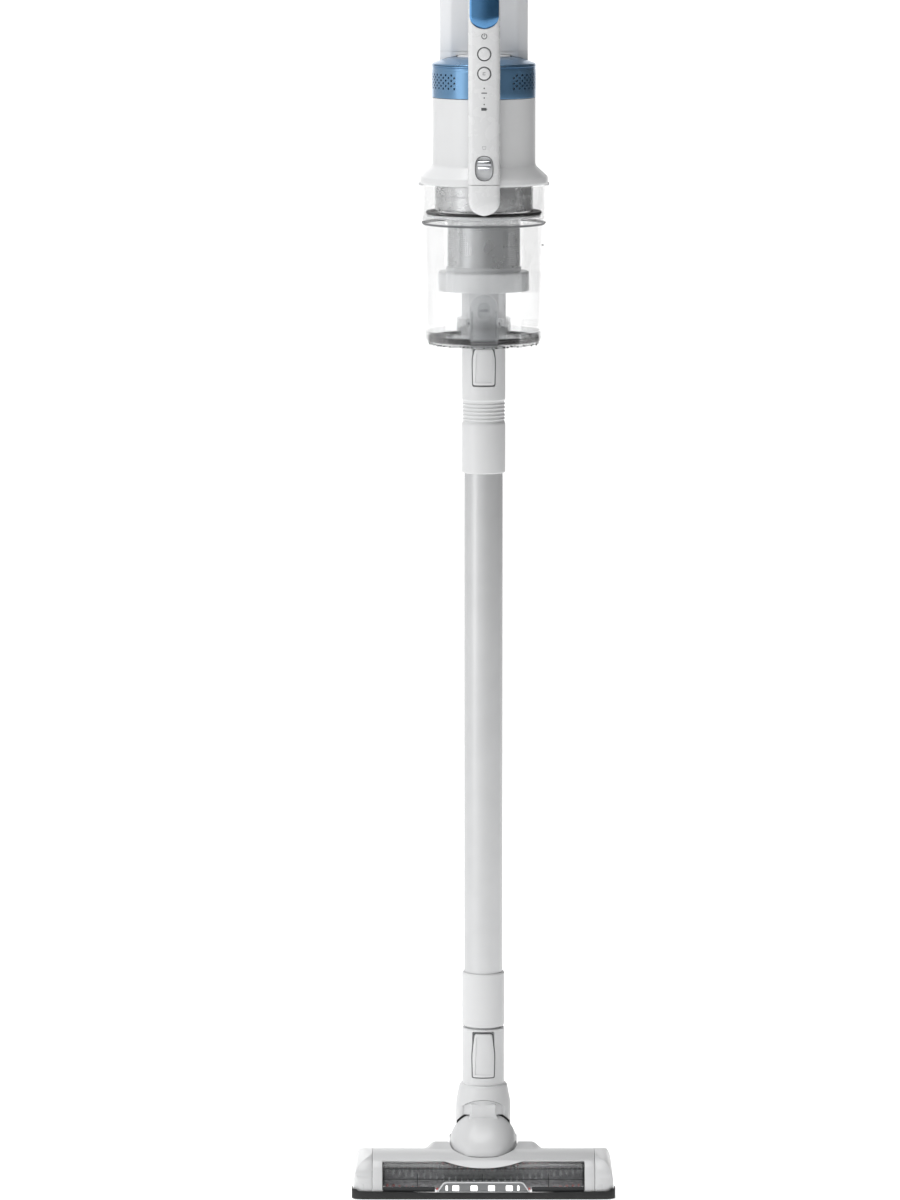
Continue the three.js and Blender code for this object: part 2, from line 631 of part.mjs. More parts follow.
// The latch plate, curved round the bin's front, with its thumb button above the pivot.
function lidLatch() {
  const face = new THREE.Shape();
  face.moveTo(-LATCH_HALF, 804);
  face.lineTo(LATCH_HALF, 804);
  face.lineTo(LATCH_HALF, 838);
  face.absarc(0, 838, LATCH_HALF, 0, Math.PI);
  const plate = frontCut(face, -63, -59.6, 8);
  const button = frontCut(roundedRect(-5.6, 829.5, 5.6, 843.5, 5.5), -64.2, -62.9, 4);
  return join(plate, button);
}

function buildBin(lid, bin, latch) {
  piece("bin_lid", binLid(), clear, lid);
  piece("lid_inlet_pipe", lidInletPipe(), offWhite, lid);
  piece("lid_seal", ring(51.9, 46.5, LID_FLOOR + GAP, 811), rubber, lid);
  piece("lid_hinge_pin", bar("x", PIN_R, -12, 12, [0, PIN_Y, PIN_Z], 12), steel, lid);
  piece("bin_shell", binShell(), clear, bin);
  piece("lid_latch", lidLatch(), clear, latch);
}

// ---- Motor unit ------------------------------------------------------------------------------

function buildCyclone(parent) {
  const cover = turned([
    [30, 914], [34.7, 914], [34.7, 918.4], [45.7, 926.2], [45.7, 948], [43.5, 948],
    [43.5, 928], [33, 921], [30, 918.4],
  ]);
  piece("cyclone_cover", cover, offWhite, parent);
  piece("cyclone_seal", ring(54.1, 46.1, 919.4, 925), rubber, parent);
  piece("mesh_screen", ring(34, 32.7, 873.6, 913.7), steel, parent);
  const skirt = turned([
    [DUCT_R + GAP, 866.6], [40.6, 866.6], [40.6, 850.9], [42.4, 850.9], [42.4, 868.7],
    [35, 869], [35, 873.3], [DUCT_R + GAP, 873.3],
  ]);
  piece("cyclone_skirt", skirt, darkGrey, parent);
  piece("inlet_duct", ring(DUCT_R, DUCT_R - 1.8, DUCT_FOOT, 905), offWhite, parent);
}

function motorCase() {
  const inner = CASE_R - CASE_WALL;
  const shell = turned([
    [inner, CASE_FOOT], [FLARE_R, CASE_FOOT], [FLARE_R - 0.4, 955], [59.5, 957.4],
    [CASE_R, 967.6], [CASE_R, BAND_FOOT - GAP], [inner, BAND_FOOT - GAP],
  ]);
  return shell;
}

function motorCap() {
  return turned([
    [0, CAP_FOOT], [CASE_R, CAP_FOOT], [47.4, 1063], [35, 1067.1], [26, 1068.7],
    [25.4, 1069.6], [0, CAP_TOP],
  ]);
}

// A small centrifugal fan: a back plate, eight blades and the shaft that enters the motor.
function impeller() {
  const plate = bar("z", 27, 976, 978);
  const hub = bar("z", 6, 966, 980);
  const shaft = bar("z", 2.5, 978, 991, [0, 0, 0], 12);
  const blades = [];
  for (let k = 0; k < 8; k += 1) {
    const blade = new THREE.BoxGeometry(21, 1.2, 10);
    blade.translate(15.5, 0, 971.5);
    blade.rotateZ((k * Math.PI) / 4);
    blades.push(solid(blade));
  }
  return join(plate, hub, shaft, ...blades);
}

function buildMotorUnit(parent, fan) {
  const inner = CASE_R - CASE_WALL;
  piece("pre_filter", bar("z", 43.4, 950.6, 962, [0, 0, 0], ROUND), foam, parent);
  piece("motor_case", motorCase(), white, parent);
  const can = bar("z", 27, 984.7, 1024);
  piece("suction_motor", cut(can, bar("z", 2.5 + GAP, 980, 992, [0, 0, 0], 12)), steel, parent);
  piece("motor_mount", ring(inner - GAP, 27 + GAP, 994, 1002), rubber, parent);
  piece("exhaust_band", ring(CASE_R + 0.1, inner, BAND_FOOT, CAP_FOOT - GAP), blue, parent);
  piece("exhaust_filter", ring(inner - GAP, 37, 1033, 1057), paper, parent);
  piece("motor_cap", motorCap(), blue, parent);
  piece("impeller", impeller(), offWhite, fan);
}

// ---- Control strip and handle ----------------------------------------------------------------

// The long front panel, with a channel for the gloss insert, two button holes and a release recess.
function controlStrip() {
  const face = roundedRect(-STRIP_HALF, STRIP_FOOT, STRIP_HALF, STRIP_TOP, 12);
  const square = block([-STRIP_HALF, STRIP_FRONT, 1100], [STRIP_HALF, STRIP_BACK, STRIP_TOP]);
  const panel = join(frontCut(face, STRIP_FRONT, STRIP_BACK), square);
  const flareRelief = bar("z", FLARE_R + 0.5, 900, 968.4, [0, 0, 0], ROUND);
  const channel = frontCut(insertFace(GAP), STRIP_FRONT - 1, STRIP_FRONT + 3.4);
  const holes = [POWER_Z, MODE_Z].map((z) =>
    bar("y", BUTTON_R + GAP, STRIP_FRONT - 1, STRIP_BACK + 1, [0, 0, z]),
  );
  const recessFace = roundedRect(-RECESS_HALF, RECESS_FOOT, RECESS_HALF, RECESS_TOP, RECESS_HALF - 0.1);
  const recess = frontCut(recessFace, STRIP_FRONT - 1, STRIP_FRONT + 3.4);
  return cut(panel, flareRelief, channel, recess, ...holes);
}

// Front view of the gloss insert, with a round lower end, grown all round by extra.
function insertFace(extra) {
  const half = STRIP_HALF - 1 + extra - GAP;
  const shape = new THREE.Shape();
  shape.moveTo(half, STRIP_TOP + 2 * extra);
  shape.lineTo(-half, STRIP_TOP + 2 * extra);
  shape.lineTo(-half, INSERT_FOOT + half - extra);
  shape.absarc(0, INSERT_FOOT + half - extra, half, Math.PI, 2 * Math.PI);
  return shape;
}

// The handle as a side view: a stem on the motor case, the upright grip and an arch to the dock.
function handleSide() {
  const shape = new THREE.Shape();
  shape.moveTo(STRIP_BACK + GAP, 970);
  shape.lineTo(STRIP_BACK + GAP, STRIP_TOP + 0.4);
  shape.lineTo(STRIP_FRONT, STRIP_TOP + 0.4);
  shape.bezierCurveTo(STRIP_FRONT, 1222, -52, HANDLE_TOP, -34, HANDLE_TOP);
  shape.lineTo(-14, HANDLE_TOP);
  shape.bezierCurveTo(2, HANDLE_TOP, 11.6, 1222, 11.6, 1206);
  shape.lineTo(11.6, DOCK_TOP + GAP);
  shape.lineTo(DOCK_FRONT, DOCK_TOP + GAP);
  shape.bezierCurveTo(DOCK_FRONT, 1202, -6, 1208, -14, 1208);
  shape.lineTo(-22, 1208);
  shape.bezierCurveTo(-31, 1208, GRIP_BACK, 1202, GRIP_BACK, 1192);
  shape.lineTo(GRIP_BACK, 1080);
  shape.bezierCurveTo(GRIP_BACK, 1076, -38, 1073.4, -42, 1073.4);
  shape.lineTo(-48.9, 1073.4);
  shape.lineTo(-48.9, 970);
  return shape;
}

function handleGrip() {
  const body = sideCut(handleSide(), -GRIP_HALF, GRIP_HALF, 6);
  const boardPocket = block([-11.4, -60, 1018], [11.4, -53.8, 1090]);
  return cut(body, boardPocket);
}

function buildHandle(parent) {
  piece("control_strip", controlStrip(), white, parent);
  piece("handle_insert", frontCut(insertFace(0), STRIP_FRONT - 0.4, STRIP_FRONT + 3), blue, parent);
  piece("handle_grip", handleGrip(), white, parent);
  piece("control_board", block([-11, -56.4, 1019], [11, -54.8, 1089]), board, parent);
  const box = planCut(roundedRect(-DOCK_HALF, DOCK_FRONT, DOCK_HALF, DOCK_BACK, 9), DOCK_FOOT, DOCK_TOP);
  const pocket = block([-33, 12, 1080], [33, 40, 1200]);
  piece("battery_dock", cut(box, pocket), offWhite, parent);
  const blades = [-12, -4, 4, 12].map((x) => block([x - 0.5, 14, 1086], [x + 0.5, 22, 1098]));
  const base = block([-18, 12.4, 1080.4], [18, 25, 1087]);
  piece("battery_terminals", join(base, ...blades), brass, parent);
}

function buildButton(name, z, parent) {
  const cap = bar("y", BUTTON_R, STRIP_FRONT - 0.5, STRIP_FRONT + 6);
  piece(name, cap, white, parent).position.z = z;
}

// ---- Battery ---------------------------------------------------------------------------------

// Ten cells lying across the pack in two rows, joined by a strip at each end.
function cellStack() {
  const pitch = 19.6;
  const lowest = 1092;
  const highest = lowest + 4 * pitch;
  const cells = [];
  for (const y of [39.6, 58.8]) {
    for (let z = lowest; z < highest + 1; z += pitch) {
      cells.push(bar("x", 9.2, -32.5, 32.5, [0, y, z], 12));
    }
  }
  const strips = blockPair([32.3, 36, lowest - 4], [33.2, 62, highest + 4]);
  return join(...cells, strips);
}

function buildBattery(pack, button) {
  const corners = roundedRect(-PACK_HALF, 20, PACK_HALF, PACK_BACK, 9);
  const hollow = roundedRect(-PACK_HALF + SKIN, 10, PACK_HALF - SKIN, PACK_BACK - SKIN, 7);
  const solidCase = cut(planCut(corners, PACK_FOOT, PACK_TOP), block([-50, 0, 1000], [50, 29.4, 1300]));
  const inside = planCut(hollow, PACK_FOOT + SKIN, PACK_TOP - SKIN);
  const buttonHole = block([-10.4, 69, 1160], [10.4, 80, 1176]);
  piece("battery_case", cut(solidCase, inside, buttonHole), offWhite, pack);
  const plate = block([-PACK_HALF, 26.4, PACK_FOOT], [PACK_HALF, 29, PACK_TOP]);
  const rail = block([-32.4, 12.6, 1102], [32.4, 26.6, 1180]);
  piece("battery_cover", join(plate, rail), offWhite, pack);
  piece("battery_cells", cellStack(), steel, pack);
  piece("battery_button", block([-10, 71.4, 1160.4], [10, BUTTON_BACK, 1175.6]), darkGrey, button);
}

// ---- Assembly --------------------------------------------------------------------------------

const vacuum = new THREE.Group();
buildFloorHead(vacuum);
buildBrush(vacuum);
buildMotorPulley(vacuum);
buildWheel("left", -1, vacuum);
buildWheel("right", 1, vacuum);
piece("swivel_elbow", swivelElbow(), white, vacuum);
piece("swivel_neck", swivelNeck(), white, vacuum);
piece("head_release_lever", releaseLever(106, 147.6, 126.4, -21.8, -17.6), white, vacuum);
buildWand(vacuum);
piece("wand_release_lever", releaseLever(763.4, 797, 785.4, -23.2, -20.6), white, vacuum);
buildBin(vacuum, vacuum, vacuum);
buildCyclone(vacuum);
buildMotorUnit(vacuum, vacuum);
buildHandle(vacuum);
buildButton("power_button", POWER_Z, vacuum);
buildButton("mode_button", MODE_Z, vacuum);
const slider = block([-6, STRIP_FRONT - 0.6, 966.5], [6, STRIP_FRONT + 2.8, 976]);
piece("bin_release_slider", slider, chrome, vacuum);
buildBattery(vacuum, vacuum);

export default vacuum;
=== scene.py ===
"""Looks of the cordless stick vacuum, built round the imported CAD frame.

Metres, +Z up, the front is -Y. Lengths in the builders below are in millimetres.
"""

import math
import random

import bmesh
import bpy
from mathutils import Matrix, Vector


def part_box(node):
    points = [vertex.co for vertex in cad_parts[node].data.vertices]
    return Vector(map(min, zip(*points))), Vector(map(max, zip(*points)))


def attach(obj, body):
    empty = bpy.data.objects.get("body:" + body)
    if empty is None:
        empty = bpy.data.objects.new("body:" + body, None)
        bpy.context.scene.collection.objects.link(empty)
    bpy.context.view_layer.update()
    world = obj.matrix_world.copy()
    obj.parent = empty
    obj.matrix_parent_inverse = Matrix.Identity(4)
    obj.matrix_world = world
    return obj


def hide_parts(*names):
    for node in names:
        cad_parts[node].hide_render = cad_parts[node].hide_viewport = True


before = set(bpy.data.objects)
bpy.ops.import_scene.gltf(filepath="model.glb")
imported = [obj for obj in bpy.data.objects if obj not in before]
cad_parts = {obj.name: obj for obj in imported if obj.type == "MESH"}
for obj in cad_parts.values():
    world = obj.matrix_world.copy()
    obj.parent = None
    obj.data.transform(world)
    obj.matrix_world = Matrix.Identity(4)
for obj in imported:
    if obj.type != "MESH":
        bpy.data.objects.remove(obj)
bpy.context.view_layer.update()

MM = 0.001


# ---- Mesh helpers ----


def rounded(corners, steps=5):
    """Closed outline. A corner given as (u, v, setback) is rounded over that setback."""
    points = []
    for i, corner in enumerate(corners):
        here = Vector(corner[:2])
        if len(corner) < 3:
            points.append(here)
            continue
        before = Vector(corners[i - 1][:2]) - here
        after = Vector(corners[(i + 1) % len(corners)][:2]) - here
        start = here + before.normalized() * min(corner[2], before.length * 0.49)
        end = here + after.normalized() * min(corner[2], after.length * 0.49)
        for k in range(steps + 1):
            t = k / steps
            points.append(start.lerp(here, t).lerp(here.lerp(end, t), t))
    return points


def arc(u, v, radius, first, last, steps=16):
    """Points of an arc, with its angles in degrees from the first axis."""
    angles = [math.radians(first + (last - first) * k / steps) for k in range(steps + 1)]
    return [(u + radius * math.cos(a), v + radius * math.sin(a)) for a in angles]


def mirrored(*half):
    """A symmetric outline from its right half, starting at the left twin of its first point."""
    left = [(-point[0], *point[1:]) for point in half]
    return [left[0], *half, *reversed(left[1:])]


def link(name, bm, material):
    bmesh.ops.remove_doubles(bm, verts=bm.verts, dist=1e-6)
    bmesh.ops.dissolve_degenerate(bm, edges=bm.edges, dist=1e-7)
    bmesh.ops.recalc_face_normals(bm, faces=bm.faces)
    mesh = bpy.data.meshes.new(name)
    bm.to_mesh(mesh)
    bm.free()
    mesh.materials.append(material)
    obj = bpy.data.objects.new(name, mesh)
    bpy.context.scene.collection.objects.link(obj)
    return smooth(obj)


def smooth(obj):
    obj.data.shade_smooth()
    obj.data.set_sharp_from_angle(angle=math.radians(32))
    return obj


def bake(obj):
    """Applies the object's modifiers to its mesh."""
    depsgraph = bpy.context.evaluated_depsgraph_get()
    mesh = bpy.data.meshes.new_from_object(obj.evaluated_get(depsgraph))
    old = obj.data
    obj.modifiers.clear()
    obj.data = mesh
    bpy.data.meshes.remove(old)
    return smooth(obj)


def bevel(obj, width, segments=3, angle=35):
    modifier = obj.modifiers.new("edge", "BEVEL")
    modifier.width = width * MM
    modifier.segments = segments
    modifier.limit_method = "ANGLE"
    modifier.angle_limit = math.radians(angle)
    return bake(obj)


def combine(obj, mode, *others):
    for other in others:
        modifier = obj.modifiers.new("combine", "BOOLEAN")
        modifier.operation = mode
        modifier.solver = "EXACT"
        modifier.object = other
        bake(obj)
        bpy.data.objects.remove(other)
    return obj


def carve(obj, *cutters):
    return combine(obj, "DIFFERENCE", *cutters)


def merged(name, objects):
    """One object made of several, each keeping its own material."""
    first = objects[0]
    bpy.context.view_layer.objects.active = first
    with bpy.context.temp_override(
        active_object=first, selected_editable_objects=objects, selected_objects=objects
    ):
        bpy.ops.object.join()
    first.name = name
    return first


def stitch(bm, rings):
    """Joins closed rings of vertices one to the next, and closes both ends."""
    for lower, upper in zip(rings, rings[1:]):
        for i in range(len(lower)):
            j = (i + 1) % len(lower)
            bm.faces.new((lower[i], lower[j], upper[j], upper[i]))
    bm.faces.new(rings[0])
    bm.faces.new(rings[-1])


def laid(obj, axis, *where):
    """Lays a piece that is built round Z along another axis, and moves it there."""
    obj.data.transform(Matrix.Translation(Vector(where) * MM) @ Matrix.Rotation(math.pi / 2, 4, axis))
    return obj


def turned(name, profile, material, steps=96):
    """A closed (radius, height) outline turned about Z."""
    outline = rounded(profile)
    bm = bmesh.new()
    columns = []
    for k in range(steps):
        c, s = math.cos(2 * math.pi * k / steps), math.sin(2 * math.pi * k / steps)
        columns.append([bm.verts.new((p.x * c * MM, p.x * s * MM, p.y * MM)) for p in outline])
    count = len(outline)
    for k, column in enumerate(columns):
        following = columns[(k + 1) % steps]
        for i in range(count):
            j = (i + 1) % count
            if outline[i].x == 0 and outline[j].x == 0:
                continue
            bm.faces.new((column[i], following[i], following[j], column[j]))
    return link(name, bm, material)


PLANES = {
    "xz": lambda u, v, w: (u, w, v),
    "yz": lambda u, v, w: (w, u, v),
    "xy": lambda u, v, w: (u, v, w),
}


def slab(name, outline, plane, low, high, material, edge=0.4, segments=3):
    """A closed outline in one plane made solid from low to high, with rounded edges."""
    at = PLANES[plane]
    bm = bmesh.new()
    stitch(bm, [[bm.verts.new(Vector(at(p[0], p[1], w)) * MM) for p in outline] for w in (low, high)])
    obj = link(name, bm, material)
    return bevel(obj, edge, segments) if edge else obj


def box(name, low, high, material, edge=0.4, segments=3):
    (x0, y0, z0), (x1, y1, z1) = low, high
    outline = [(x0, y0), (x1, y0), (x1, y1), (x0, y1)]
    return slab(name, outline, "xy", z0, z1, material, edge, segments)


def twins(name, low, high, material, edge=0.4):
    """A box on the right and its mirror image on the left."""
    (x0, y0, z0), (x1, y1, z1) = low, high
    left = box(name, (-x1, y0, z0), (-x0, y1, z1), material, edge)
    return [left, box(name, low, high, material, edge)]


def heights(node):
    """A CAD node's lowest and highest point in millimetres."""
    low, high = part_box(node)
    return low[2] / MM, high[2] / MM


def oblong(u0, v0, u1, v1, setback, steps=6):
    return rounded([(u0, v0, setback), (u1, v0, setback), (u1, v1, setback), (u0, v1, setback)], steps)


def bar(name, axis, radius, low, high, centre, material, steps=32, edge=0.3):
    """A round bar along an axis, through centre."""
    plane = "xyz".replace(axis, "")
    u, v = (centre["xyz".index(letter)] for letter in plane)
    circle = arc(u, v, radius, 0, 360, steps)[:-1]
    return slab(name, circle, plane, low, high, material, edge, 2)


def perforated(name, radius, thickness, angles, levels, pitch, hole, staggered, material):
    """A round sheet with a pattern of holes: angles and levels are each (first, last, count).

    The outer surface is laid out in cells two steps wide, with the hole in the middle of a cell.
    """
    first, last, columns = angles
    foot, top, rows = levels
    bm = bmesh.new()
    grid = {}
    width = (last - first) / (2 * columns)

    def corner(i, z):
        key = (i, round(z, 4))
        if key not in grid:
            a = math.radians(first + i * width)
            grid[key] = bm.verts.new((radius * math.cos(a) * MM, radius * math.sin(a) * MM, z * MM))
        return grid[key]

    def plain(i, z0, z1):
        bm.faces.new((corner(i, z0), corner(i + 1, z0), corner(i + 1, z1), corner(i, z1)))

    def pierced(i, z):
        rim = [(2, 0), (2, 1), (1, 1), (0, 1), (0, 0), (0, -1), (1, -1), (2, -1)]
        outer = [corner(i + du, z + dv * pitch) for du, dv in rim]
        inner = []
        for k in range(8):
            turn = k * math.pi / 4
            a = math.radians(first + (i + 1) * width) + hole * math.cos(turn) / radius
            height = z + hole * math.sin(turn)
            inner.append(bm.verts.new((radius * math.cos(a) * MM, radius * math.sin(a) * MM, height * MM)))
        for k in range(8):
            j = (k + 1) % 8
            bm.faces.new((outer[k], outer[j], inner[j], inner[k]))

    reach = pitch * (rows + (0.5 if staggered else 0))
    lowest, highest = (foot + top) / 2 - reach, (foot + top) / 2 + reach
    for column in range(columns):
        i = 2 * column
        shift = pitch if staggered and column % 2 else 0
        for row in range(rows):
            pierced(i, lowest + shift + pitch * (2 * row + 1))
        for half in (i, i + 1):
            plain(half, foot, lowest)
            plain(half, highest, top)
            if staggered and column % 2:
                plain(half, lowest, lowest + pitch)
            elif staggered:
                plain(half, highest - pitch, highest)
    obj = link(name, bm, material)
    shell = obj.modifiers.new("thickness", "SOLIDIFY")
    shell.thickness = thickness * MM
    shell.offset = -1
    return bake(obj)


# ---- Materials ----


def map_range(tree, value, start, end, low, high):
    """Maps a value's start..end onto low..high."""
    node = tree.nodes.new("ShaderNodeMapRange")
    for key, number in zip(("From Min", "From Max", "To Min", "To Max"), (start, end, low, high)):
        node.inputs[key].default_value = number
    tree.links.new(value, node.inputs["Value"])
    return node


class Shader:
    """A node material with short calls for the few node kinds that are used here."""

    def __init__(self, name):
        self.material = bpy.data.materials.new(name)
        self.material.use_nodes = True
        self.nodes = self.material.node_tree.nodes
        self.links = self.material.node_tree.links
        self.bsdf = self.nodes["Principled BSDF"]
        self.coordinates = self.nodes.new("ShaderNodeTexCoord").outputs["Object"]

    def set(self, **values):
        for key, value in values.items():
            self.bsdf.inputs[key.replace("_", " ")].default_value = value
        return self

    def noise(self, scale, detail=3, stretch=None):
        node = self.nodes.new("ShaderNodeTexNoise")
        node.inputs["Scale"].default_value = scale
        node.inputs["Detail"].default_value = detail
        source = self.coordinates
        if stretch:
            mapping = self.nodes.new("ShaderNodeMapping")
            mapping.inputs["Scale"].default_value = stretch
            self.links.new(source, mapping.inputs["Vector"])
            source = mapping.outputs["Vector"]
        self.links.new(source, node.inputs["Vector"])
        return node.outputs["Fac"]

    def span(self, value, low, high):
        """Spreads a noise over low..high."""
        return map_range(self.material.node_tree, value, 0.3, 0.7, low, high).outputs["Result"]

    def tint(self, value, first, second):
        """Mixes two colours by a noise."""
        node = self.nodes.new("ShaderNodeValToRGB")
        for element, place, color in zip(node.color_ramp.elements, (0.35, 0.65), (first, second)):
            element.position = place
            element.color = (*color, 1)
        self.links.new(value, node.inputs["Fac"])
        return node.outputs["Color"]

    def feed(self, socket, value):
        self.links.new(value, self.bsdf.inputs[socket])
        return self

    def bump(self, value, depth):
        node = self.nodes.new("ShaderNodeBump")
        node.inputs["Strength"].default_value = 1
        node.inputs["Distance"].default_value = depth * MM
        self.links.new(value, node.inputs["Height"])
        return self.feed("Normal", node.outputs["Normal"])


def shade(color, factor):
    return tuple(channel * factor for channel in color)


def moulded(name, color, rough, grain=0.004, mottle=0.03, coat=0.0):
    """Moulded plastic: a fine spark texture, uneven gloss and the faintest change of tone."""
    s = Shader(name).set(Roughness=rough, Coat_Weight=coat, Coat_Roughness=0.08)
    s.feed("Base Color", s.tint(s.noise(38, 4), shade(color, 1 - mottle), color))
    s.feed("Roughness", s.span(s.noise(90, 5), rough - 0.05, rough + 0.05))
    return s.bump(s.noise(2600, 2), grain).material


def coated_metal(name, color, rough, metallic, brushed=None, grain=0.002, coat=0.35):
    s = Shader(name).set(Metallic=metallic, Coat_Weight=coat, Coat_Roughness=0.1)
    s.feed("Base Color", s.tint(s.noise(30, 2), shade(color, 0.96), color))
    s.feed("Roughness", s.span(s.noise(60, 3, brushed), rough - 0.03, rough + 0.04))
    return s.bump(s.noise(1500, 2, brushed), grain).material


def clear_plastic(name, color, density):
    """Clear plastic with real refraction. The denser it is, the less light passes straight through."""
    s = Shader(name).set(IOR=1.49, Transmission_Weight=1.0, Alpha=density, Specular_IOR_Level=0.6)
    s.feed("Base Color", s.tint(s.noise(24), shade(color, 0.97), color))
    s.feed("Roughness", s.span(s.noise(60, 3), 0.005, 0.015))
    return s.material


def soft_fibre(name, first, second, depth=0.25):
    s = Shader(name).set(Roughness=0.95, Sheen_Weight=0.3, Sheen_Roughness=0.5)
    strands = s.noise(900, 3, (0.25, 1, 1))
    s.feed("Base Color", s.tint(strands, first, second))
    return s.bump(strands, depth).material


def glowing(name, color, strength):
    s = Shader(name).set(Base_Color=(*color, 1), Emission_Color=(*color, 1), Roughness=0.2)
    s.feed("Emission Strength", s.span(s.noise(300, 2), strength * 0.92, strength * 1.08))
    return s.material


WHITE = moulded("white_shell", (0.70, 0.705, 0.71), 0.34, mottle=0.012, coat=0.15)
BRIGHT = moulded("strip_white", (0.73, 0.735, 0.74), 0.27, grain=0.002, mottle=0.008, coat=0.3)
PALE = moulded("pale_grey_shell", (0.76, 0.77, 0.785), 0.42, mottle=0.012)
INNER = moulded("inner_grey", (0.66, 0.67, 0.68), 0.30, coat=0.3)
SATIN = coated_metal("satin_grey", (0.58, 0.585, 0.59), 0.27, 0.8)
DARK = moulded("dark_grey_plastic", (0.035, 0.037, 0.04), 0.48, grain=0.01, mottle=0.15)
# Dark grey for printed marks, also used for painted shade round the levers and along the bin's step.
GRAPHITE = moulded("graphite_print_and_painted_shade", (0.10, 0.105, 0.11), 0.45, mottle=0.1)
BACKING = moulded("lamp_backing", (0.20, 0.205, 0.21), 0.4)
FAINT = moulded("faint_mark", (0.42, 0.43, 0.44), 0.45)
RUBBER = moulded("black_rubber", (0.012, 0.012, 0.013), 0.62, grain=0.02, mottle=0.2)
BLUE = coated_metal("blue_metallic", (0.15, 0.30, 0.49), 0.30, 0.9, grain=0.0002, coat=0.5)
BLUE_GLOSS = coated_metal("blue_gloss", (0.07, 0.23, 0.46), 0.2, 0.85, grain=0.0004, coat=0.8)
SILVER = coated_metal("silver_tube", (0.60, 0.605, 0.61), 0.38, 0.55, (1, 1, 0.03), coat=0.1)
STEEL = coated_metal("steel", (0.52, 0.53, 0.55), 0.30, 1.0, (1, 1, 0.1))
SCREEN = coated_metal("screen_mesh", (0.62, 0.63, 0.64), 0.28, 0.85)
# Painted shade: the same plated chrome as the trim, made darker for the slider to stand in for the dark
# reflections it shows.
SHADED_CHROME = coated_metal("plated_trim_painted_darker", (0.42, 0.43, 0.45), 0.12, 1.0, grain=0.0005)
CHROME = coated_metal("plated_trim", (0.74, 0.75, 0.77), 0.08, 1.0, grain=0.0005)
BRASS = coated_metal("contact_brass", (0.78, 0.58, 0.24), 0.25, 1.0)
CELL = moulded("cell_wrap", (0.05, 0.28, 0.14), 0.3, mottle=0.1)
BOARD = moulded("circuit_board", (0.01, 0.12, 0.05), 0.35, mottle=0.25)
FOAM = soft_fibre("filter_foam", (0.10, 0.12, 0.15), (0.17, 0.20, 0.24), 0.4)
PAPER = soft_fibre("filter_paper", (0.74, 0.72, 0.66), (0.84, 0.82, 0.77))
PILE_RED = soft_fibre("brush_fibre", (0.74, 0.15, 0.15), (0.90, 0.32, 0.30), 0.1)
PILE_GREY = soft_fibre("brush_pile_grey", (0.22, 0.22, 0.225), (0.40, 0.40, 0.41))
CLEAR = clear_plastic("clear_plastic", (0.96, 0.97, 0.975), 0.15)
CLEAR_THICK = clear_plastic("clear_thick", (0.86, 0.87, 0.88), 0.42)
CLEAR_FIRM = clear_plastic("clear_latch", (0.80, 0.81, 0.82), 0.62)
SMOKED = clear_plastic("smoked_window", (0.66, 0.67, 0.68), 0.43)
LAMP = glowing("lamp_light", (1.0, 1.0, 0.98), 1.6)


def place(obj, body, slot, *nodes):
    """Rides a piece on its body and hides the CAD nodes that it stands for. The slot is not used."""
    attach(obj, body)
    if nodes:
        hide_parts(*nodes)
    return obj


# ---- Motor unit ----


def motor_case():
    case = turned("motor_case_shell", [
        (45.9, 950.4), (58.9, 950.4, 0.5), (59.7, 952.2, 0.8), (59.7, 957.2, 1.2), (48.6, 967.4, 2.2),
        (48.2, 969.5, 1.5), (48.2, 1030.7, 0.5), (45.9, 1030.7),
    ], WHITE, 160)
    tabs = twins("tab", (56, -3.2, 948.6), (61, 3.2, 951.8), WHITE, 0.8)
    place(merged("motor_case_shell", [case, *tabs]), "motor_unit", "white_shell", "motor_case")


def exhaust_band():
    """The pierced blue band, plain in front behind the strip, with a lip and a groove on top."""
    radius, inner, foot, top = 48.3, 46.9, 1036.6, 1056.4
    plain = 32.75  # degrees to each side of the front
    first, last = -90 + plain, 270 - plain
    sheet = perforated(
        "exhaust_band_shell", radius, radius - inner, (first, last, 71), (foot, top, 3), 2.48, 1.12, True,
        BLUE,
    )
    outline = arc(0, 0, radius, last - 360, first, 24) + arc(0, 0, inner, first, last - 360, 24)
    front = slab("front", outline, "xy", foot, top, BLUE, 0)
    below = [(inner, 1031.1), (radius, 1031.1, 0.4), (radius, foot), (inner, foot)]
    lower = turned("lower", below, BLUE, 192)
    upper = turned("upper", [
        (inner, top), (radius, top), (48.1, 1056.7), (48.1, 1059.2, 0.2), (47.7, 1059.5),
        (radius, 1059.8, 0.2), (radius, 1060.9, 0.3), (inner, 1060.9),
    ], BLUE, 192)
    band = merged("exhaust_band_shell", [sheet, front, lower, upper])
    place(band, "motor_unit", "blue_metallic", "exhaust_band")


def motor_cap():
    cone = turned("motor_cap_shell", [
        (0, 1061.3), (48.3, 1061.3, 0.3), (47.9, 1062.4, 0.6), (35.4, 1067.0, 1.4), (26.2, 1068.6, 0.3),
        (25.8, 1068.0, 0.2), (25.2, 1068.0), (0, 1068.0),
    ], BLUE, 160)
    place(cone, "motor_unit", "blue_metallic", "motor_cap")
    disc = turned("motor_cap_disc", [
        (0, 1068.2), (24.9, 1068.2), (24.9, 1069.4, 0.8), (12, 1070.9, 6), (0, 1071.2),
    ], WHITE, 96)
    place(disc, "motor_unit", "white_shell")


BUTTON_HEIGHTS = (1073.7, 1055.7)
BUTTON_SEAT = -63.3
STRIP_FACE = -66.12


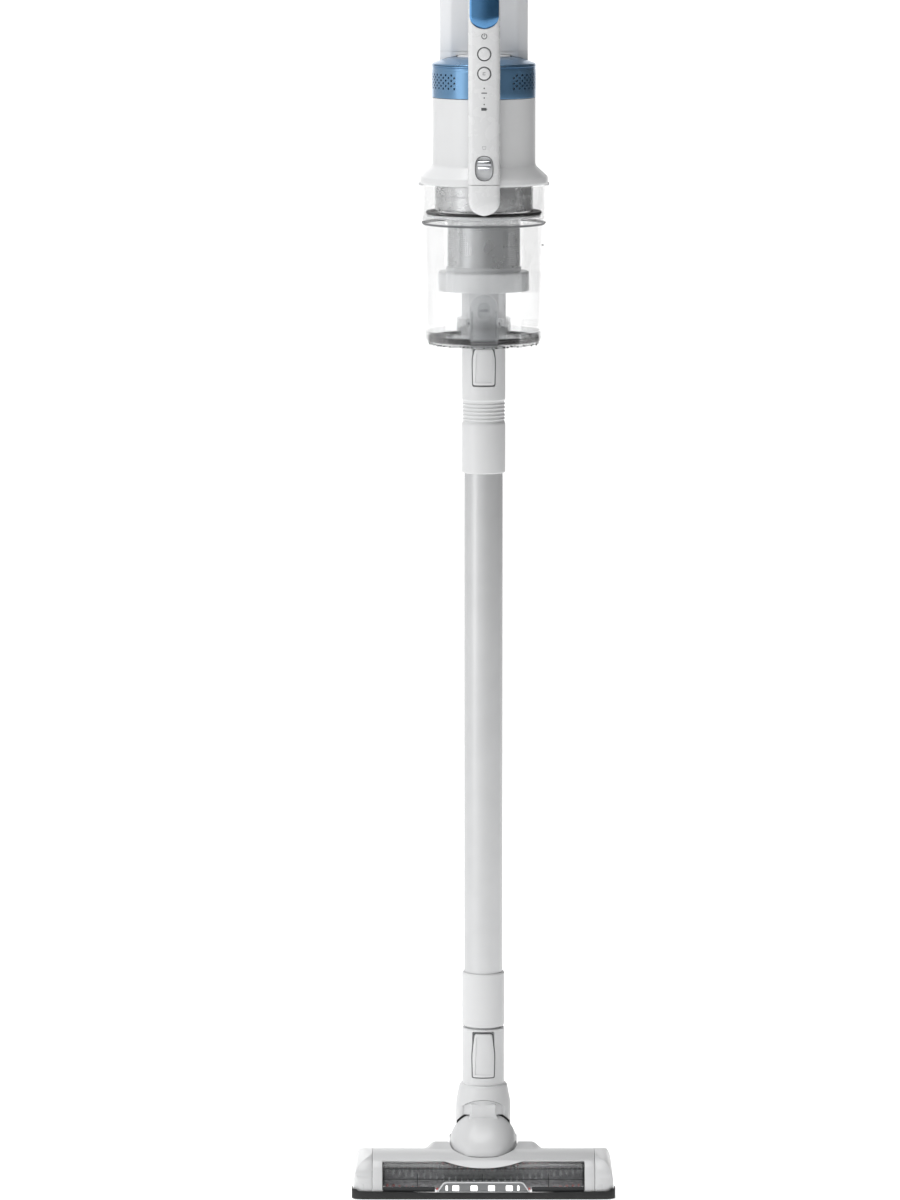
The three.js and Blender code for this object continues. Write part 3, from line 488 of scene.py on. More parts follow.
def crowned_strip(name, half, foot, top, front, back, crown, round_foot, material):
    """A long panel with a crowned front, from a grid that narrows to a round foot."""
    across, bm = 20, bmesh.new()
    stations = [foot + round_foot * (1 - math.cos(math.pi / 2 * k / 14)) for k in range(15)]
    stations += [foot + round_foot + (top - foot - round_foot) * k / 24 for k in range(1, 25)]
    rows = []
    for z in stations:
        shape = math.sqrt(max(0, 1 - max(0, 1 - (z - foot) / round_foot) ** 2))
        width = max(half * shape, 0.4)
        ridge = front + (1 - shape) * (back - front) * 0.75
        row = []
        for i in range(across + 1):
            u = -1 + 2 * i / across
            depth = ridge + crown * u * u + (back - ridge - crown) * max(0, abs(u) - 0.8) ** 2 * 12
            row.append((u * width, min(depth, back)))
        row += [(width, back), (-width, back)]
        rows.append([bm.verts.new((x * MM, y * MM, z * MM)) for x, y in row])
    stitch(bm, rows)
    return link(name, bm, material)


def control_strip():
    strip = crowned_strip("control_strip_panel", 14.7, 923.9, 1196, -66, -57.4, 2.6, 14.4, BRIGHT)
    corners = [(0, 915), (61.2, 915), (61.2, 956), (60, 961), (52, 971), (0, 971)]
    relief = turned("relief", corners, BRIGHT, 96)
    recess = slab("recess", oblong(-8.6, 956.7, 8.6, 980.3, 10.5), "xz", -70, -62.2, CHROME, 0)
    seam = box("seam", (-20, -70, 952.8), (20, -60.5, 953.3), BRIGHT, 0)
    holes = [bar("hole", "y", 6.6, -70, -63.4, (0, 0, z), BRIGHT, 48, 0) for z in BUTTON_HEIGHTS]
    channel = crowned_strip("channel", 13.9, 1096.4, 1230, -70, -63.5, 0.4, 12.6, BRIGHT)
    carve(strip, relief, recess, seam, *holes, channel)
    place(strip, "motor_unit", "white_shell", "control_strip")


def gloss_insert():
    insert = crowned_strip("gloss_insert", 13.6, 1096.7, 1195.6, -66.3, -63.3, 1.7, 12.4, BLUE_GLOSS)
    place(insert, "motor_unit", "blue_gloss", "handle_insert")


def buttons():
    for kind, z in zip(("power", "mode"), BUTTON_HEIGHTS):
        name, node = kind + "_button_cap", kind + "_button"
        cap = turned(name, [(0, 0), (5.5, 0), (5.5, 2.7, 0.9), (3, 3.1, 2), (0, 3.2)], BRIGHT, 64)
        laid(cap, "X", 0, BUTTON_SEAT, z)
        if kind == "mode":
            mark = slab("mark", [
                (1.2, z + 1.2), (-1.3, z + 1.2), (-1.3, z - 1.2), (1.2, z - 1.2), (1.2, z - 0.8),
                (-0.9, z - 0.8), (-0.9, z + 0.8), (1.2, z + 0.8),
            ], "xz", -66.56, -66.2, GRAPHITE, 0)
            cap = merged(name, [cap, mark])
        place(cap, kind + "_key", "white_shell", node)
        edge = [(5.75, 0), (6.55, 0), (6.55, 2.5, 0.3), (5.75, 2.5, 0.3)]
        ring = laid(turned("ring_" + node, edge, GRAPHITE, 64), "X", 0, BUTTON_SEAT, z)
        place(ring, "motor_unit", "dark_grey_plastic")


def strip_marks():
    """Plain symbols on the strip: a power sign, dots, dashes and a bucket."""

    def mark(name, outline, material):
        return slab(name, outline, "xz", STRIP_FACE, -65.6, material, 0)

    dots = (1042.3, 1033.5, 1027.5)
    marks = [bar("dot", "y", 0.65, STRIP_FACE, -65.6, (0, 0, z), GRAPHITE, 16, 0) for z in dots]
    dashes = (
        (-2.6, 1037.5, 2.6, 1038.4), (-2.7, 1021.8, 2.1, 1024.4), (2.3, 1022.5, 2.8, 1023.7),
        (-0.3, 1089.9, 0.3, 1092.9),
    )
    marks += [mark("dash", oblong(*dash, 0.2, 2), GRAPHITE) for dash in dashes]
    power = arc(0, 1090.1, 2.7, 112, 428, 32) + arc(0, 1090.1, 2.0, 428, 112, 32)
    marks.append(mark("power", power, GRAPHITE))
    bucket = mark("bucket", mirrored((1.9, 989), (1.3, 985.8)), FAINT)
    marks.append(carve(bucket, slab("in", mirrored((1.4, 988.6), (1.0, 986.2)), "xz", -67, -65, FAINT, 0)))
    place(merged("strip_marks", marks), "motor_unit", "dark_grey_plastic")


def release_slider():
    """The plated slider in its oval recess, with the recess's rim and floor."""
    rim = slab("rim", oblong(-8.5, 956.8, 8.5, 980.2, 10.4), "xz", -65.9, -62.6, CHROME, 0)
    carve(rim, slab("hole", oblong(-7.7, 957.6, 7.7, 979.4, 9.6), "xz", -67, -62, CHROME, 0))
    floor = slab("floor", oblong(-8.3, 957, 8.3, 980, 10), "xz", -63.1, -62.3, INNER, 0)
    place(merged("release_recess", [rim, floor]), "motor_unit", "plated_trim")
    z0, z1 = heights("bin_release_slider")
    thumb = rounded([
        (-63.2, z0), (-66.8, z0 + 0.2, 0.5), (-67.0, z0 + 1.6, 0.8), (-65.4, z0 + 2.8, 1.2),
        (-65.0, z0 + 4.4, 1.2), (-66.6, z0 + 6.6, 2), (-64.6, z1, 1.5), (-63.2, z1),
    ])
    # The slider's darker chrome is painted shade.
    slider = slab("release_slider", thumb, "yz", -6.2, 6.2, SHADED_CHROME, 0)
    plan = rounded(mirrored((6.2, z0, 4.6), (6.2, z1, 1)))
    combine(slider, "INTERSECT", slab("plan", plan, "xz", -70, -60, SHADED_CHROME, 0))
    bevel(slider, 0.6)
    place(slider, "bin_slider", "plated_trim", "bin_release_slider")


def handle():
    outer = [
        (-57.2, 969.5, 1), (-57.2, 1196.4), (-65.6, 1196.4, 0.4), (-65.6, 1222, 14), (-52, 1234, 16),
        (-8, 1234, 14), (12.2, 1226, 18), (12.2, 1188.8), (0.5, 1188.8), (0.5, 1206, 10), (-8, 1208.5, 8),
        (-26, 1208.5, 8), (-35.5, 1203, 9), (-35.5, 1150), (-34.6, 1120, 20), (-35.5, 1074, 5),
        (-48.9, 1073.4), (-48.9, 969.5, 1),
    ]
    grip = slab("handle_shell", rounded(outer, 7), "yz", -13.6, 13.6, PALE, 4.2, 5)
    place(grip, "motor_unit", "pale_grey_shell", "handle_grip")


def battery_dock():
    z0, z1 = heights("battery_dock")
    outline = rounded(mirrored((31.4, 0, 2.4), (41, 9.6, 2.4), (41, 26, 5)))
    dock = slab("dock_shell", outline, "xy", z0, z1, PALE, 1.2)
    carve(dock, box("pocket", (-33, 12, 1080), (33, 40, 1200), PALE, 0))
    place(dock, "motor_unit", "pale_grey_shell", "battery_dock")
    cap = [
        (0, 1050), (50, 1050), (50, 1061.4), (35.4, 1067.2), (26.2, 1068.9), (25, 1069.8), (12, 1071.1),
        (0, 1071.4),
    ]
    saddle = slab("dock_saddle", outline, "xy", 1061.6, z0 + 1.5, PALE, 0)
    carve(saddle, turned("cap", cap, PALE, 64))
    place(saddle, "motor_unit", "pale_grey_shell")


def battery():
    z0, z1 = heights("battery_case")
    case = slab("battery_shell", rounded(mirrored((39, 29.5), (39, 74.8, 12)), 8), "xy", z0, z1, PALE, 3, 4)
    room = rounded(mirrored((36.8, 20), (36.8, 72.4, 10)))
    hollow = slab("hollow", room, "xy", z0 + 2.4, z1 - 2.4, PALE, 0)
    window = box("window", (-10.5, 69, 1159.9), (10.5, 80, 1176.1), PALE, 0)
    grooves = [box("groove", (-45, 74.3, z), (45, 76, z + 1.2), PALE, 0) for z in (1092, 1097, 1102)]
    carve(case, hollow, window, *grooves)
    place(case, "battery", "pale_grey_shell", "battery_case")
    key = box("battery_key_cap", (-10, 71.4, 1160.4), (10, 75.9, 1175.6), DARK, 0.9)
    ribs = [box("rib", (-7, 75.6, z), (7, 76.3, z + 0.9), DARK, 0.3) for z in (1164, 1167.2, 1170.4)]
    place(merged("battery_key_cap", [key, *ribs]), "battery_key", "dark_grey_plastic", "battery_button")


# ---- Bin and cyclone ----


def clear_bin():
    wall = turned("bin_wall", [
        (52.6, 814.2), (54.7, 814.2, 0.5), (56.8, 912.6, 1), (58.8, 919.4, 1.5), (58.8, 949.4, 0.4),
        (57.0, 949.4, 0.3), (57.0, 921, 2), (54.9, 914, 1.5),
    ], CLEAR, 160)
    place(wall, "bin", "clear_plastic", "bin_shell")
    step = turned("bin_step_ring", [
        (54.9, 913.4), (57.0, 913.4, 0.4), (59.0, 917.6, 0.8), (59.0, 920.6, 0.5), (57.2, 920.8, 0.4),
        (55.0, 917.2, 0.5),
    ], CLEAR, 160)
    # Painted shade: a thin dark ring along the step, standing in for the dark line that the clear step shows
    # by refraction.
    line = turned("bin_step_painted_line", [
        (55.4, 912.4), (56.9, 912.6, 0.2), (57.9, 914.0, 0.3), (58.2, 914.7, 0.2), (57.7, 914.6),
        (56.7, 913.2), (55.4, 913.0),
    ], GRAPHITE, 160)
    place(merged("bin_step_ring", [step, line]), "bin", "clear_plastic")
    ear = rounded([
        (64, 824, 3), (53.4, 824, 1), (53.4, 814.4), (56.4, 814.4, 1), (56.4, 809, 3), (60, 807, 3.2),
        (64, 809, 3),
    ])
    fittings = twins("nub", (55.2, -1.6, 857), (57, 1.6, 861), CLEAR_THICK, 0.5)
    fittings += [slab("ear", ear, "yz", *sorted((s * 8.4, s * 12)), CLEAR_THICK, 0.5) for s in (-1, 1)]
    fittings += twins("bracket", (13.9, -60, 821), (16, -52.4, 829), CLEAR_THICK, 0.8)
    fittings.append(box("level_mark", (54.0, -6, 892.6), (56.0, 4, 893.4), FAINT, 0.1))
    place(merged("bin_fittings", fittings), "bin", "clear_plastic")


def lid():
    dish = turned("lid_dish", [
        (17.1, 799.5), (46, 799.5, 2), (52.2, 801.6, 2), (54.5, 806, 2), (54.5, 813.5, 0.4),
        (52.5, 813.5, 0.3), (52.5, 803.4, 1), (25, 803.2), (25, 825, 0.5), (22.9, 825, 0.5), (22.9, 803.2),
        (17.1, 803.2),
    ], CLEAR_THICK, 160)
    web = box("web", (-8, 53.4, 807.6), (8, 60, 811.8), CLEAR_THICK, 0.6)
    knuckle = bar("knuckle", "x", 4, -8, 8, (0, 60, 811), CLEAR_THICK, 24, 0.4)
    place(merged("lid_dish", [dish, web, knuckle]), "lid", "clear_plastic", "bin_lid")
    pipe = turned("inlet_pipe", [
        (14.5, 752), (16.8, 752, 0.6), (16.8, 803.5), (20.7, 803.5), (20.7, 818, 0.3), (19, 818, 0.3),
        (19, 805.4), (14.5, 805.4),
    ], INNER, 96)
    place(pipe, "lid", "inner_grey", "lid_inlet_pipe")
    studs = [turned("lid_band", [
        (46.6, 803.6), (51.6, 803.6, 0.4), (51.8, 807.6, 0.5), (50.6, 808.6, 0.4), (46.6, 808.6),
    ], RUBBER, 160)]
    random.seed(4)
    for k in range(84):
        turn = Matrix.Rotation(math.radians(k * 360 / 84), 4, "Z")
        radius, z = 50.6 + random.uniform(-0.7, 0.7), 801.3 + random.uniform(-0.4, 0.9)
        size = random.uniform(0.5, 1.25)
        shape = oblong(-size, -0.7, size, 0.7, 0.4, 2)
        stud = slab("stud", shape, "xz", -0.6, 0.6, random.choice((RUBBER, DARK, FAINT)), 0)
        lean = Matrix.Rotation(random.uniform(-0.5, 0.5), 4, "Y")
        stud.data.transform(turn @ Matrix.Translation((0, -radius * MM, z * MM)) @ lean)
        studs.append(stud)
    place(merged("lid_seal_band", studs), "lid", "black_rubber", "lid_seal")
    clips = twins("clip", (21.4, -3, 813), (25.2, 3, 826.6), CLEAR_THICK)
    place(merged("lid_clips", clips), "lid", "clear_plastic")


def curved(name, outline, thickness, radius, material, edge=0.5):
    """A front-view plate bent round the Z axis, with its outer face at the radius."""
    plate = slab(name, outline, "xz", 0, thickness, material, 0)
    cuts = bmesh.new()
    cuts.from_mesh(plate.data)
    us = [p[0] for p in outline]
    low, high = min(us), max(us)
    for k in range(1, 14):
        x = (low + (high - low) * k / 14) * MM
        geometry = cuts.verts[:] + cuts.edges[:] + cuts.faces[:]
        bmesh.ops.bisect_plane(cuts, geom=geometry, plane_co=(x, 0, 0), plane_no=(1, 0, 0))
    for vert in cuts.verts:
        reach = radius * MM - vert.co.y
        a = vert.co.x / (radius * MM)
        vert.co.x, vert.co.y = reach * math.sin(a), -reach * math.cos(a)
    cuts.to_mesh(plate.data)
    cuts.free()
    return bevel(plate, edge, 2, 50) if edge else smooth(plate)


def lid_latch():
    face = [(-13.4, 804), (13.4, 804)] + arc(0, 837.8, 13.4, 0, 180, 20)
    plate = curved("latch_plate", face, 2.2, 62.6, CLEAR_FIRM)
    carve(plate, curved("well", oblong(-8.2, 826, 8.2, 848.6, 9), 1.2, 63.4, CLEAR_FIRM, 0))
    rails = [
        curved("rail", oblong(u - 0.7, 806, u + 0.7, 836, 0.6, 3), 1.2, 63.6, CLEAR_FIRM, 0.3)
        for u in (-11.2, 11.2)
    ]
    button = curved("button", oblong(-5.9, 829.2, 5.9, 844, 6), 2.6, 64.1, CLEAR_FIRM, 0.7)
    grip = curved("grip", oblong(-3.8, 835.6, 3.8, 838.4, 1, 3), 0.8, 64.7, CLEAR_FIRM, 0.3)
    foot = curved("foot", oblong(-12.4, 802.4, 12.4, 806.6, 1.2, 3), 3.4, 62.4, CLEAR_FIRM)
    latch = merged("latch_plate", [plate, *rails, button, grip, foot])
    place(latch, "latch", "clear_plastic", "lid_latch")
    pips = [bar("pip", "x", 1.2, s - 0.5, s + 0.5, (0, -60.4, 824.6), DARK, 16, 0.2) for s in (-14, 14)]
    place(merged("latch_pips", pips), "latch", "dark_grey_plastic")


def cyclone():
    cover = turned("cyclone_cover_shell", [
        (30, 914), (34.7, 914, 0.4), (34.9, 918.6, 0.5), (45.9, 926.4, 0.8), (45.9, 939.4), (45.4, 939.7),
        (45.4, 940.1), (45.9, 940.4), (45.9, 949.6, 0.6), (43.5, 949.6), (43.5, 928), (30, 918.6),
    ], SATIN, 128)
    place(cover, "motor_unit", "inner_grey", "cyclone_cover")
    seal = turned("cyclone_seal_ring", [
        (46.2, 922.6), (52.6, 922.6, 0.5), (54.2, 923.2, 0.5), (53.6, 925, 0.6), (46.2, 925),
    ], RUBBER, 128)
    under = [(46.2, 919.6), (53.4, 919.6, 0.6), (53.4, 922.4, 0.5), (46.2, 922.4)]
    backing = turned("backing", under, INNER, 128)
    place(merged("cyclone_seal_ring", [seal, backing]), "motor_unit", "black_rubber", "cyclone_seal")
    screen = perforated(
        "mesh_screen_sheet", 34, 0.5, (-90, 270, 108), (873.5, 913.7, 20), 0.96, 0.62, False, SCREEN,
    )
    gap_shade = turned("screen_core", [(29.6, 873.6), (31.2, 873.6), (31.2, 913.6), (29.6, 913.6)], INNER, 96)
    place(screen, "motor_unit", "screen_mesh", "mesh_screen")
    place(gap_shade, "motor_unit", "inner_grey")
    skirt = turned("cyclone_skirt_shell", [
        (21.1, 866.6), (40.8, 866.6), (40.8, 850.9, 0.4), (42.4, 850.9, 0.5), (42.4, 867.6, 0.8),
        (41.4, 868.9, 0.8), (35.2, 869.1, 0.5), (35.2, 873.2, 0.6), (21.1, 873.2),
    ], INNER, 128)
    place(skirt, "motor_unit", "inner_grey", "cyclone_skirt")
    pipe = [(19, 818.6), (20.8, 818.6, 0.3), (20.8, 905, 0.3), (19, 905)]
    duct = turned("inlet_duct_shell", pipe, INNER, 96)
    place(duct, "motor_unit", "inner_grey", "inlet_duct")


# ---- Wand and neck ----


def wand():
    tube = turned("wand_tube_shell", [(16.8, 158), (18, 158, 0.3), (18, 745, 0.3), (16.8, 745)], SILVER, 96)
    place(tube, "wand", "silver_tube", "wand_tube")
    collar = turned("lower_collar", [
        (18.2, 153.3), (19.6, 153.3, 0.3), (20.1, 154.4, 0.5), (20.1, 203.4, 0.8), (19.5, 204.5, 0.4),
        (18.2, 204.5),
    ], WHITE, 96)
    place(collar, "wand", "white_shell", "wand_lower_collar")
    profile = [
        (17.3, 745.4), (17.3, 798), (20.0, 798, 0.4), (20.45, 796.6, 0.6), (20.45, 749, 0.5),
        (19.5, 747.4, 0.4),
    ]
    for k in range(5):
        z = 744.6 - 3.5 * k
        profile += [(19.3, z + 0.9), (20.05, z + 0.45, 0.3), (20.05, z - 0.75, 0.3), (19.3, z - 1.2)]
    profile += [
        (19.5, 728.0), (20.1, 727.2, 0.3), (20.5, 725.6, 0.6), (20.5, 680.8, 0.6), (20.0, 679.8, 0.3),
        (18.3, 679.8), (18.3, 745.4),
    ]
    fitting = turned("upper_fitting", profile, WHITE, 96)
    carve(fitting, curved("seat", oblong(-11.6, 761.8, 11.6, 801, 1.5, 3), 3.6, 21.4, WHITE, 0))
    place(fitting, "wand", "white_shell", "wand_upper_fitting")


def lever_edge(size, extra=0.0):
    """A lever's outline. Its size is the foot, the top, the half widths there, and the pivot's height."""
    foot, top, narrow, wide, pivot = size
    wide += extra
    return rounded(mirrored(
        (wide, foot - extra, 1.6), (wide + 0.5, pivot - 3, 1), (wide + 0.3, pivot + 3, 1),
        (narrow + extra, top + extra, 2.4),
    ))


def lever(name, size, radius, body, node, hollow_top):
    """A rocking lever bent round the wand, with a raised rim, a thumb hollow and two pivot pips."""
    foot, _, narrow, wide, pivot = size
    plate = curved(name, lever_edge(size), 2.6, radius, WHITE, 0.6)
    inset = rounded(mirrored((wide - 2, foot + 2.4, 1.4), (narrow - 1.6, hollow_top, 1.6)))
    carve(plate, curved("hollow", inset, 1.4, radius + 0.8, WHITE, 0))
    pips = []
    for side in (-1, 1):
        spot = oblong(-0.6, pivot - 1.8, 0.6, pivot + 1.8, 0.5, 2)
        pip = curved("pip", spot, 0.9, radius - 0.5, GRAPHITE, 0)
        pip.data.transform(Matrix.Rotation(side * (wide + 0.9) / radius, 4, "Z"))
        pips.append(pip)
    place(merged(name, [plate, *pips]), body, "white_shell", node)


def painted_lever_shadow(name, size, radius, body):
    """A painted shadow round a lever: a thin dark frame sunk in the housing, in the gap where shade falls."""
    plate = curved(name, lever_edge(size, 1.1), 0.5, radius, GRAPHITE, 0)
    carve(plate, curved("inner", lever_edge(size, 0.5), 2, radius + 1, GRAPHITE, 0))
    place(plate, body, "dark_grey_plastic")


def levers():
    on_neck = (106, 147.4, 8.4, 10.4, 126.4)
    on_wand = (763.6, 797, 8.8, 10.4, 785.4)
    lever("head_lever_plate", on_neck, 21.8, "head_lever", "head_release_lever", 144.4)
    lever("wand_lever_plate", on_wand, 23, "wand_lever", "wand_release_lever", 793.6)
    painted_lever_shadow("head_lever_gap_shadow", on_neck, 20.1, "neck")
    painted_lever_shadow("wand_lever_gap_shadow", (763.6, 796.6, 8.8, 10.4, 785.4), 20.65, "wand")


ROLL_AXIS = (0, 0, 54)
PITCH_AXIS = (0, 12, 28)
NOSE_POWER = 0.72


def neck():
    """The neck: round above, with a shoulder and two broad cheeks that cover the dome's top."""
    tube = turned("neck_shell", [
        (13.5, 84), (19.9, 84), (19.9, 92, 0.5), (19.9, 150.2, 0.8), (19.4, 151.3, 0.4), (16.4, 151.3),
        (16.4, 195, 0.6), (13.5, 196),
    ], WHITE, 96)
    cheek = turned("cheek", [
        (0, 54), (26, 54), (26, 79, 4), (22.8, 95.6, 2), (21.6, 97.2, 0.8), (19.8, 97.6), (0, 97.6),
    ], WHITE, 96)
    combine(cheek, "UNION", bar("disc", "y", 25.8, -15.9, 15.9, ROLL_AXIS, WHITE, 64, 0.8))
    carve(tube, box("lower", (-60, -60, 10), (60, 60, 96.5), WHITE, 0))
    carve(cheek, bar("bore", "z", 13.5, 20, 100, (0, 0, 0), WHITE, 48, 0))
    for y0, y1 in ((-40, -16), (16, 40)):
        carve(cheek, bar("relief", "y", 30.9, y0, y1, ROLL_AXIS, WHITE, 96, 0))
    carve(tube, curved("seat", oblong(-11.6, 104.6, 11.6, 149.4, 2, 3), 5, 21, WHITE, 0))
    place(merged("neck_shell", [cheek, tube]), "neck", "white_shell", "swivel_neck")


def blunt(value):
    """A sine or cosine pushed out towards 1, for a nose that is blunter than round."""
    return math.copysign(abs(value) ** NOSE_POWER, value)


def dome(name, grow, foot, material):
    """The dome: round behind, drawn out in front into a blunt nose above the brush housing."""
    radius, centre, ledge = 32.1 + grow, 43, 36.9
    top = centre + radius
    levels = [(foot, False), (ledge, False)]
    levels += [(ledge + (top - ledge) * math.sin(math.pi / 2 * k / 28), True) for k in range(29)]
    bm = bmesh.new()
    rings = []
    for z, drawn in levels:
        half = math.sqrt(max(radius ** 2 - (z - centre) ** 2, 0))
        reach = half * (1 + 0.745 * max((top - z) / (top - ledge), 0) ** 0.8)
        ring = []
        for k in range(96):
            c, s = math.cos(2 * math.pi * k / 96), math.sin(2 * math.pi * k / 96)
            if drawn and s < 0:
                x, y = blunt(c) * half, blunt(s) * reach
            else:
                x, y = c * half, s * half
            ring.append(bm.verts.new((x * MM, y * MM, z * MM)))
        rings.append(ring)
    stitch(bm, rings)
    return link(name, bm, material)


def elbow():
    """The hooded elbow: the dome, a tongue and a shield before and behind the neck's disc."""
    hood = dome("elbow_hood", 0, 31, WHITE)
    carve(
        hood, bar("slot", "y", 26.6, -16.3, 16.3, ROLL_AXIS, WHITE, 64, 0),
        box("swing", (-60, -16.3, 40), (60, 16.3, 95), WHITE, 0),
    )
    outline = rounded(mirrored((21, 52, 4), (16.4, 63, 6), (11.6, 71, 5), (12.6, 80.9, 2.6)))
    tongues = [slab("tongue", outline, "xz", y, y + 7.8, WHITE, 1.8, 4) for y in (-24.2, 16.4)]
    shield = turned("shield", [(0, 58), (24.5, 58), (24.5, 79, 4), (22, 92), (0, 92)], WHITE, 96)
    combine(shield, "INTERSECT", bar("round", "y", 30.2, -30, 30, ROLL_AXIS, WHITE, 96, 0))
    carve(
        shield, box("middle", (-40, -16.45, 0), (40, 16.45, 120), WHITE, 0), dome("over", 1.6, 31, WHITE),
    )
    barrel = bar("barrel", "x", 16.8, -32, 32, PITCH_AXIS, WHITE, 64, 1.5)
    carve(
        barrel, box("clear", (-60, -16.4, 40), (60, 16.4, 95), WHITE, 0),
        bar("slot", "y", 26.6, -16.4, 16.4, ROLL_AXIS, WHITE, 64, 0),
    )
    trunnions = bar("trunnion", "x", 4.9, -40.5, 40.5, PITCH_AXIS, DARK, 32, 0.4)
    pieces = [hood, *tongues, shield, barrel, trunnions]
    place(merged("elbow_hood", pieces), "elbow", "white_shell", "swivel_elbow")
    # Painted shadows: thin sheets of the black rubber material where shade falls between the dome's top and
    # the neck's flat face.
    gap_shades = twins("gap_shade", (13.2, -17.5, 58), (25, -16.45, 76), RUBBER, 0)
    for gap_shade in gap_shades:
        combine(gap_shade, "INTERSECT", dome("near", 1.5, 31, RUBBER))
    place(merged("elbow_painted_gap_shades", gap_shades), "elbow", "dark_grey_plastic")


# ---- Floor head ----


COVER = [  # the cover's top as (y, z)
    (-60.6, 35.0), (-53, 38.4), (-44, 40.2), (-34, 40.7), (-20, 37.9), (0, 33.5), (20, 29.1), (38, 25.2),
]
HUMP_RISE = 6.85


def ease(t):
    t = min(max(t, 0), 1)
    return t * t * (3 - 2 * t)


def cover_height(y):
    for (y0, z0), (y1, z1) in zip(COVER, COVER[1:]):
        if y <= y1:
            return z0 + (z1 - z0) * (y - y0) / (y1 - y0)
    return COVER[-1][1]


def swelling(name, drop, depth, half, front, rear):
    """The hump over the swivel's ears, as a slab of the given depth under its top surface."""
    bm, columns, rows = bmesh.new(), 60, 24
    rings = []
    for j in range(rows + 1):
        y = front + (rear - front) * j / rows
        line = []
        for i in range(columns + 1):
            x = -half + 2 * half * i / columns
            rise = HUMP_RISE * ease((y + 40) / 22) * ease((57 - abs(x)) / 11)
            line.append((x, cover_height(y) - 0.25 + rise - drop))
        line += [(x, z - depth) for x, z in reversed(line)]
        rings.append([bm.verts.new((x * MM, y * MM, z * MM)) for x, z in line])
    stitch(bm, rings)
    return link(name, bm, WHITE)


def blunt_outline(half, reach):
    """The plan of the dome's nose, closed straight across at the back."""
    turns = [math.pi * k / 40 for k in range(41)]
    return [(blunt(math.cos(a)) * half, -blunt(math.sin(a)) * reach) for a in turns]


def head_cover():
    """The cover: it crests over the brush, falls away behind and swells over the swivel's ears."""
    top = [(y, z, 5) for y, z in COVER[1:]]
    under = [(y, z - 2.3) for y, z in reversed(COVER[1:-1])]
    profile = [
        (-60.6, 35.0, 0.8), *top, (49, 21.6, 4), (52, 16, 3), (52, 9), (49.8, 9), (49.8, 15.6, 3),
        (47.4, 19.9, 3), (37.4, 22.9, 3), *under, (-59.8, 32.7),
    ]
    sheet = slab("head_cover_shell", rounded(profile), "yz", -104.5, 104.5, WHITE, 0.3)
    combine(sheet, "UNION", swelling("hump", 0, 3, 60, -40, 20))
    carve(
        sheet, swelling("hollow", 2.2, 20, 55, -33, 22),
        slab("nose", blunt_outline(33.4, 57.4), "xy", 36.2, 80, WHITE, 0),
        bar("hole", "z", 33.4, 0, 80, (0, 0, 0), WHITE, 96, 0),
        box("slot", (-33.4, 0, 0), (33.4, 60, 80), WHITE, 0),
        box("bay", (-73.8, 20, 0), (73.8, 60, 60), WHITE, 0),
    )
    lip = slab("lip", rounded([
        (-58.4, 36.0, 0.6), (-61.2, 35.4, 1), (-64.6, 32.7, 2), (-68.2, 28.9, 0.4), (-67.5, 28.2, 0.3),
        (-63.9, 31.9, 2), (-60.4, 34.4, 0.5), (-58.4, 35.0),
    ]), "yz", -40, 40, WHITE, 0)
    dip = [(-40, 50), (-40, 35.4)] + [(x, 35.4 - 6.6 * (1 - (x / 40) ** 2)) for x in range(-36, 37, 4)]
    combine(lip, "INTERSECT", slab("dip", dip + [(40, 35.4), (40, 50)], "xz", -80, -40, WHITE, 0))
    leg = rounded([
        (-60.6, 35.0, 0.8), (-67.2, 29.8, 3), (-71.8, 21, 4), (-73.3, 12, 2), (-73.3, 6.9, 0.5), (-70.4, 6.9),
        (-70.2, 12, 2), (-69, 20, 4), (-64.6, 28, 3), (-57, 33),
    ])
    legs = [slab("leg", leg, "yz", *sorted((s * 95.1, s * 104.5)), WHITE, 0.5) for s in (-1, 1)]
    place(merged("head_cover_shell", [sheet, lip, *legs]), "floor_head", "white_shell", "head_cover")


def end_caps():
    for side, node in ((-1, "end_cap_left"), (1, "end_cap_right")):
        rim = [
            (-73.2, 4.2), (-73.3, 13, 3), (-70, 25, 5), (-61, 35.0, 4), (-52, 38.6, 5), (-44, 40.2, 4),
            (-34, 40.7, 4), (-20, 37.9, 4), (0, 33.5, 4), (15.6, 30, 3), (20, 20, 3), (20, 4.2),
        ]
        cap = slab(node + "_shell", rounded(rim), "yz", *sorted((side * 104.9, side * 123)), WHITE, 0)
        plan = rounded(mirrored((123, -73.3, 12), (122.4, 60)), 8)
        front = rounded(mirrored((123, -2), (121.8, 23, 7), (116, 33.6, 5), (100.6, 41.2, 4)), 8)
        combine(
            cap, "INTERSECT", slab("plan", plan, "xy", 0, 60, WHITE, 0),
            slab("front", front, "xz", -80, 60, WHITE, 0),
        )
        inside = [
            (-69, 6.7), (-67, 14), (-58, 24), (-46, 31), (-34, 34), (2, 26.6), (11, 23), (14, 18), (14, 6.7),
        ]
        hollow = slab("inside", inside, "yz", *sorted((side * 104, side * 120)), WHITE, 0)
        core = rounded(mirrored((117, -2), (115, 20, 8), (105, 30, 8)))
        combine(hollow, "INTERSECT", slab("core", core, "xz", -80, 60, WHITE, 0))
        carve(cap, hollow)
        groove = [(-80, 0), (-80, 25), (-72.7, 25), (-72.7, 0)]
        carve(cap, slab("seam", groove, "yz", *sorted((side * 112.1, side * 112.5)), WHITE, 0))
        bevel(cap, 0.5, 2, 50)
        place(cap, "floor_head", "white_shell", node)


